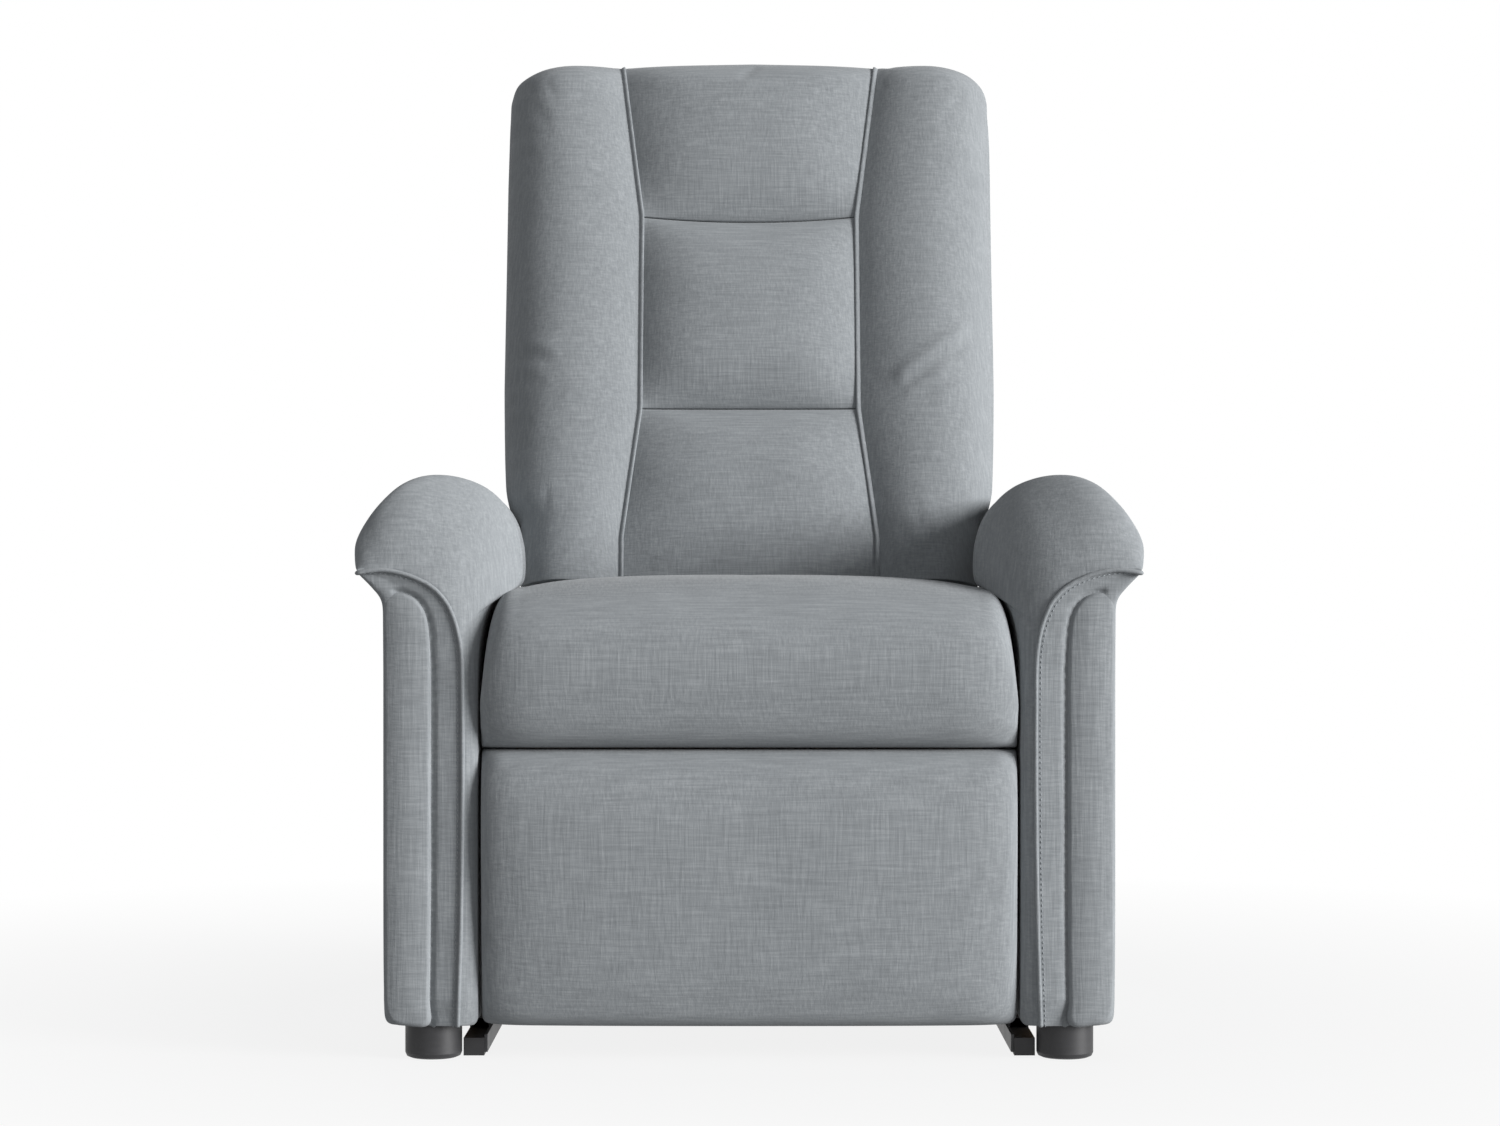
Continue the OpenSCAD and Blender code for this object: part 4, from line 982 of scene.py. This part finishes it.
def arm_sheet(roll):
    """An open cover over the arm as a grid. Each row starts at the front seam, runs to the outline with
    a falling elliptical section, goes back along the arm and returns to the rear seam. It is the roll
    cover or the side cover."""
    rim_at = slice(2, 4) if roll else slice(5, 7)
    rows = smooth_curve(ARM_ROWS, SEAM_STEPS)
    steps = np.diff(rows, axis=0)
    rows = resample(rows, SEAM_STEPS, np.hypot(*steps[:, :2].T) + np.hypot(*steps[:, rim_at].T))
    seam, rim = rows[:, :2], rows[:, rim_at]
    v0 = seam_v(seam[:, 1])
    fall = rows[:, 4] if roll else np.interp(seam[:, 1], (34, 440, 470), (13, 12, 6))
    edge = post_outline(240)
    grid = []
    for t in np.sin(quarter(FRONT_STEPS)):
        p = seam + (rim - seam) * t
        if roll:
            v = v0 + fall * (0.64 * t**1.25 + 0.36 * curl(t, 2.6))
        else:
            # A groove follows the post pad's outline and fades at the outer side
            off = np.linalg.norm(p[:, None] - edge[None], axis=2).min(1)
            groove = GROOVE * ridge(off, GROOVE_WIDE) * ease(p[:, 0], 343, 337)
            v = v0 + BAND_FALL * min(t / BAND_SHARE, 1.0) + groove + fall * curl(t, 9)
        grid.append(joined(p[:, 0], v, p[:, 1]))
    front_v, end = grid[-1][:, 1], ARM_REAR - REAR_TURN
    for t in np.linspace(0, 1, ARM_STEPS)[1:-1]:
        depth = front_v + (end - front_v) * t
        p = draw_in(rim, depth) if roll else rim
        # The top of the roll drops slightly towards the rear
        drop = np.where(p[:, 1] > 500, 0.018 * np.maximum(depth, 0) * (p[:, 1] - 470) / 90, 0)
        grid.append(joined(p[:, 0], depth, p[:, 1] - drop))
    last = grid[-1]
    rear_seam = joined(seam[:, 0] + (last[:, 0] - rim[:, 0]) * 0.3, seam[:, 1] - 2)
    for t in np.cos(quarter(REAR_STEPS))[1:]:
        p = rear_seam + (last[:, [0, 2]] - rear_seam) * t
        grid.append(joined(p[:, 0], end + REAR_TURN * (1 - curl(t, 2.6)), p[:, 1]))
    return np.array(grid)


def sheet_mesh(grid, thick=4.0):
    """A closed shell from an open grid: the grid, a copy set in along its normals, and the rims."""
    n = unit(np.cross(np.gradient(grid, axis=0), np.gradient(grid, axis=1)))
    arm_centre = np.array([305.0, 350.0, 300.0])
    if ((grid - arm_centre) * n).sum() < 0:
        n = -n
    m, k = grid.shape[:2]
    a = np.arange(m * k).reshape(m, k)
    b = a + m * k
    rim_a = np.concatenate([a[0, :-1], a[:-1, -1], a[-1, :0:-1], a[:0:-1, 0]])
    rim_b = rim_a + m * k
    side = np.stack([rim_a, np.roll(rim_a, -1), np.roll(rim_b, -1), rim_b], -1)
    quads = np.vstack([grid_quads(a)[:, ::-1], grid_quads(b), side])
    points = np.vstack([grid.reshape(-1, 3), (grid - n * thick).reshape(-1, 3)])
    return points, quads, np.empty((0, 3), int)


def post_rings():
    """Front post pad: its outline draws in towards its middle line. The edge is a quarter ellipse 5 wide
    and 7 high, the face a low parabola; the rear is flat against the side cover."""
    ring = post_outline(160)
    middle_x, half = 328.0, 22.6
    edge_wide, edge_high, crown, base_v = 5.0, 7.0, 1.4, 16.0
    spine = joined(middle_x, np.clip(ring[:, 1], 60, 424))
    turn = quarter(8)
    face = np.linspace(edge_wide, 20.4, 8)[1:]
    inset = np.concatenate([edge_wide * (1 - np.cos(turn)), face])
    parabola = 1 - ((half - face) / (half - edge_wide)) ** 2
    height = np.concatenate([edge_high * np.sin(turn), edge_high + crown * parabola])
    rings = []
    for d, h in zip(inset, height):
        p = spine + (ring - spine) * (1 - d / half * 0.985)
        lead = 1.0 + 5.0 * ease(p[:, 1], 360, 450) ** 1.5
        v = 5.0 - h - lead + 0.0022 * np.maximum(p[:, 0] - 316, 0) ** 2
        rings.append(joined(p[:, 0], v, p[:, 1]))
    return [joined(rings[0][:, 0], base_v, rings[0][:, 2]), *rings]


class RECLINER_OT_arms(bpy.types.Operator):
    """Builds both arms: the roll cover, the side cover, the post pad and the welt"""

    bl_idname = "recliner.arms"
    bl_label = "Arms"

    def execute(self, context):
        rows = smooth_curve(ARM_ROWS, 300)
        front = joined(rows[:, 0], seam_v(rows[:, 1]) - 0.5, rows[:, 1])
        rear_tip = np.array([374.5, ARM_REAR - REAR_TURN, 466.5])
        run = np.linspace(1, 0, 60)[:-1, None]
        path = resample(np.vstack([front[0] + (rear_tip - front[0]) * run, front]), 420)
        # The welt stands out forwards on the front and downwards along the side
        along_side = ease(path[:, 1], 4, 24)[:, None]
        out = np.array([0.3, 0.0, -1.0]) * along_side + np.array([0.1, -1.0, -0.1]) * (1 - along_side)
        profile = round_profile(context.scene.recliner_seams.welt_radius)
        welt = closed_loft(sweep(path, out, profile), 1)
        roll, cover = sheet_mesh(arm_sheet(True)), sheet_mesh(arm_sheet(False))
        post = closed_loft(post_rings(), 4)
        for side, tag in SIDES:
            upholster(f"arm_roll_{tag}", roll, "chassis", side,
                      [f"arm_pad_{tag}", f"arm_inner_{tag}"])
            upholster(f"arm_side_{tag}", cover, "chassis", side,
                      [f"arm_outer_{tag}", f"arm_front_{tag}"])
            upholster(f"arm_post_{tag}", post, "chassis", side)
            upholster(f"arm_welt_{tag}", welt, "chassis", side, levels=0)
        return {"FINISHED"}


class RECLINER_OT_stitches(bpy.types.Operator):
    """Builds the top stitching of the arm fronts, just outside the welt"""

    bl_idname = "recliner.stitches"
    bl_label = "Arm stitches"

    def execute(self, context):
        pitch = context.scene.recliner_seams.stitch_pitch
        inset, thread_radius = 4.6, 0.5
        rows = smooth_curve(ARM_ROWS, 300)[12:-8]
        seam, rim = rows[:, :2], rows[:, 5:7]
        band = np.linalg.norm(rim - seam, axis=1)
        line = seam + inset * (rim - seam) / band[:, None]
        v = seam_v(seam[:, 1]) + BAND_FALL * inset / (BAND_SHARE * band) - 0.3
        path = joined(line[:, 0], v, line[:, 1])
        run = np.linalg.norm(np.diff(path, axis=0), axis=1).sum()
        at = resample(path, int(run / pitch))
        along = unit(np.gradient(at, axis=0))
        side_way = unit(np.cross(along, (0.0, 1.0, 0.0)))
        # One stitch: six rings of six points, an ellipse that is low at both ends
        t = np.linspace(-1, 1, 6)
        a = np.linspace(0, 2 * np.pi, 6, endpoint=False)
        size = thread_radius * np.sqrt(1 - (0.94 * t) ** 2)
        local = np.stack([np.repeat(t * pitch * 0.36, 6), np.outer(size, np.cos(a)).ravel(),
                          np.outer(size, np.sin(a)).ravel() - np.repeat(0.6 * t**2, 6)], -1)
        points = (at[:, None] + local[None, :, :1] * along[:, None] + local[None, :, 1:2] * side_way[:, None]
                  + local[None, :, 2:] * (0.0, -1.0, 0.0))
        quads = grid_quads(wrapped(np.arange(36).reshape(6, 6)))
        caps = np.array([[0, 5, 4, 3], [0, 3, 2, 1], [30, 31, 32, 33], [30, 33, 34, 35]])
        one = np.vstack([quads, caps])[:, ::-1]
        every = (one[None] + 36 * np.arange(len(at))[:, None, None]).reshape(-1, 4)
        thread = sewing_thread()
        for side, tag in SIDES:
            upholster(f"arm_stitches_{tag}", (points, every, []), "chassis", side, levels=0, material=thread)
        return {"FINISHED"}


# ---- Frame and stage ----


class RECLINER_OT_finishes(bpy.types.Operator):
    """Gives the frame's own parts their finishes"""

    bl_idname = "recliner.finishes"
    bl_label = "Frame finishes"

    def execute(self, context):
        steel, zinc, plastic, webbing = painted_steel(), zinc_steel(), moulded_plastic(), woven_webbing()
        timber_y = planed_timber("Planed timber, grain front to back", 1)
        timber_z = planed_timber("Planed timber, grain upright", 2)
        timber_x = planed_timber("Planed timber, grain across", 0)
        chosen = {
            "base_glides": plastic, "arm_feet": plastic, "power_box": plastic, "lift_motor": plastic,
            "footrest_motor": plastic, "recline_motor": plastic, "back_webbing": webbing,
            "seat_frame": timber_y, "arm_frame_left": timber_z, "arm_frame_right": timber_z,
            "back_frame": timber_z, "footrest_board": timber_x,
        }
        bright = ("pins", "pin", "rod", "bolts", "springs")
        for name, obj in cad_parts.items():
            finish = chosen.get(name) or (zinc if name.split("_")[-1] in bright else steel)
            obj.data.materials.clear()
            obj.data.materials.append(finish)
        return {"FINISHED"}


FLOOR_REACH = 30.0
KEY_AZIMUTH, KEY_RISE, KEY_SPREAD = np.radians([66.0, 13.5, 24.0])
KEY_AIM, KEY_DISTANCE = np.array([0.0, 0.0, 0.5]), 4.0


def backdrop_share(node):
    """1 for the rays that show a backdrop as it is: from the camera, from gloss and through glass."""
    rays = node("LightPath")
    bent = node("Math", {0: rays.outputs["Is Glossy Ray"], 1: rays.outputs["Is Transmission Ray"]},
                operation="MAXIMUM")
    return node("Math", {0: rays.outputs["Is Camera Ray"], 1: bent}, operation="MAXIMUM")


class RECLINER_OT_stage(bpy.types.Operator):
    """Builds the floor, the lights and the camera"""

    bl_idname = "recliner.stage"
    bl_label = "Stage"

    def execute(self, context):
        scene = context.scene
        stage = scene.recliner_stage
        white = (1, 1, 1, 1)

        # Floor: matt grey to the lamps; to the eye it turns to plain white away from the chair
        material, node, place = new_material("Matt white floor")
        away = node("VectorMath", {0: place}, operation="LENGTH")
        far = node("MapRange", {"Value": away.outputs["Value"], "From Min": 0.5, "From Max": 1.6,
                                "To Min": 0.86, "To Max": 1.0}, clamp=True)
        share = node("Math", {0: backdrop_share(node), 1: far}, operation="MULTIPLY")
        matt = node("BsdfDiffuse", {"Color": (0.5, 0.5, 0.5, 1)})
        plain = node("Emission", {"Color": white, "Strength": 1.0})
        node("OutputMaterial", {0: node("MixShader", {0: share, 1: matt, 2: plain})})
        mesh = bpy.data.meshes.new("floor")
        corners = [(-1, -1), (1, -1), (1, 1), (-1, 1)]
        mesh.from_pydata([(x * FLOOR_REACH, y * FLOOR_REACH, 0) for x, y in corners], [], [(0, 1, 2, 3)])
        mesh.materials.append(material)
        floor = bpy.data.objects.new("floor", mesh)
        scene.collection.objects.link(floor)

        world = bpy.data.worlds.new("Studio")
        scene.world = world
        world.use_nodes = True
        world.node_tree.nodes.clear()
        node = partial(add, world.node_tree)
        light = node("Background", {"Color": (0.97, 0.98, 1.0, 1), "Strength": stage.sky})
        plain = node("Background", {"Color": white, "Strength": 1.0})
        node("OutputWorld", {0: node("MixShader", {0: backdrop_share(node), 1: light, 2: plain})})

        towards = np.array([np.sin(KEY_AZIMUTH) * np.cos(KEY_RISE), -np.cos(KEY_AZIMUTH) * np.cos(KEY_RISE),
                            np.sin(KEY_RISE)])
        lamp = bpy.data.lights.new("key", "SUN")
        lamp.energy = stage.key
        lamp.angle = KEY_SPREAD
        key = bpy.data.objects.new("key", lamp)
        key.location = KEY_AIM + KEY_DISTANCE * towards
        key.rotation_euler = Vector(towards).to_track_quat("Z", "Y").to_euler()
        scene.collection.objects.link(key)

        lens = bpy.data.cameras.new("camera")
        lens.lens = stage.lens
        lens.sensor_width = 36.0
        lens.shift_x = 0.0005
        camera = bpy.data.objects.new("camera", lens)
        camera.location = (0.0, -MIDDLE / MM - stage.distance, stage.height)
        camera.rotation_euler = (np.pi / 2, 0.0, 0.0)
        scene.collection.objects.link(camera)
        scene.camera = camera
        scene.view_settings.view_transform = "Standard"
        return {"FINISHED"}


class RECLINER_PT_panel(bpy.types.Panel):
    """Lists the recliner's settings and pieces"""

    bl_label = "Recliner"
    bl_idname = "RECLINER_PT_panel"
    bl_space_type = "VIEW_3D"
    bl_region_type = "UI"
    bl_category = "Recliner"

    def draw(self, context):
        for name in GROUPS:
            group = getattr(context.scene, name)
            box = self.layout.box()
            for key in group.__annotations__:
                box.prop(group, key)
        for operator in OPERATORS:
            self.layout.operator(operator.bl_idname)


OPERATORS = (RECLINER_OT_stage, RECLINER_OT_finishes, RECLINER_OT_bolsters, RECLINER_OT_column,
             RECLINER_OT_rear, RECLINER_OT_back_welts, RECLINER_OT_seat, RECLINER_OT_footrest,
             RECLINER_OT_arms, RECLINER_OT_stitches)
GROUPS = {"recliner_cloth": ClothLook, "recliner_pads": PadSettings, "recliner_seams": SeamSettings,
          "recliner_stage": StageSettings}


def register():
    """Registers the settings, the operators and the panel."""
    for name, group in GROUPS.items():
        bpy.utils.register_class(group)
        setattr(bpy.types.Scene, name, PointerProperty(type=group))
    for item in (*OPERATORS, RECLINER_PT_panel):
        bpy.utils.register_class(item)


def unregister():
    """Takes everything off again."""
    for item in (RECLINER_PT_panel, *reversed(OPERATORS)):
        bpy.utils.unregister_class(item)
    for name, group in reversed(GROUPS.items()):
        delattr(bpy.types.Scene, name)
        bpy.utils.unregister_class(group)


def main():
    """Builds the whole chair."""
    register()
    for operator in OPERATORS:
        group, name = operator.bl_idname.split(".")
        getattr(getattr(bpy.ops, group), name)()


if __name__ == "__main__":
    main()
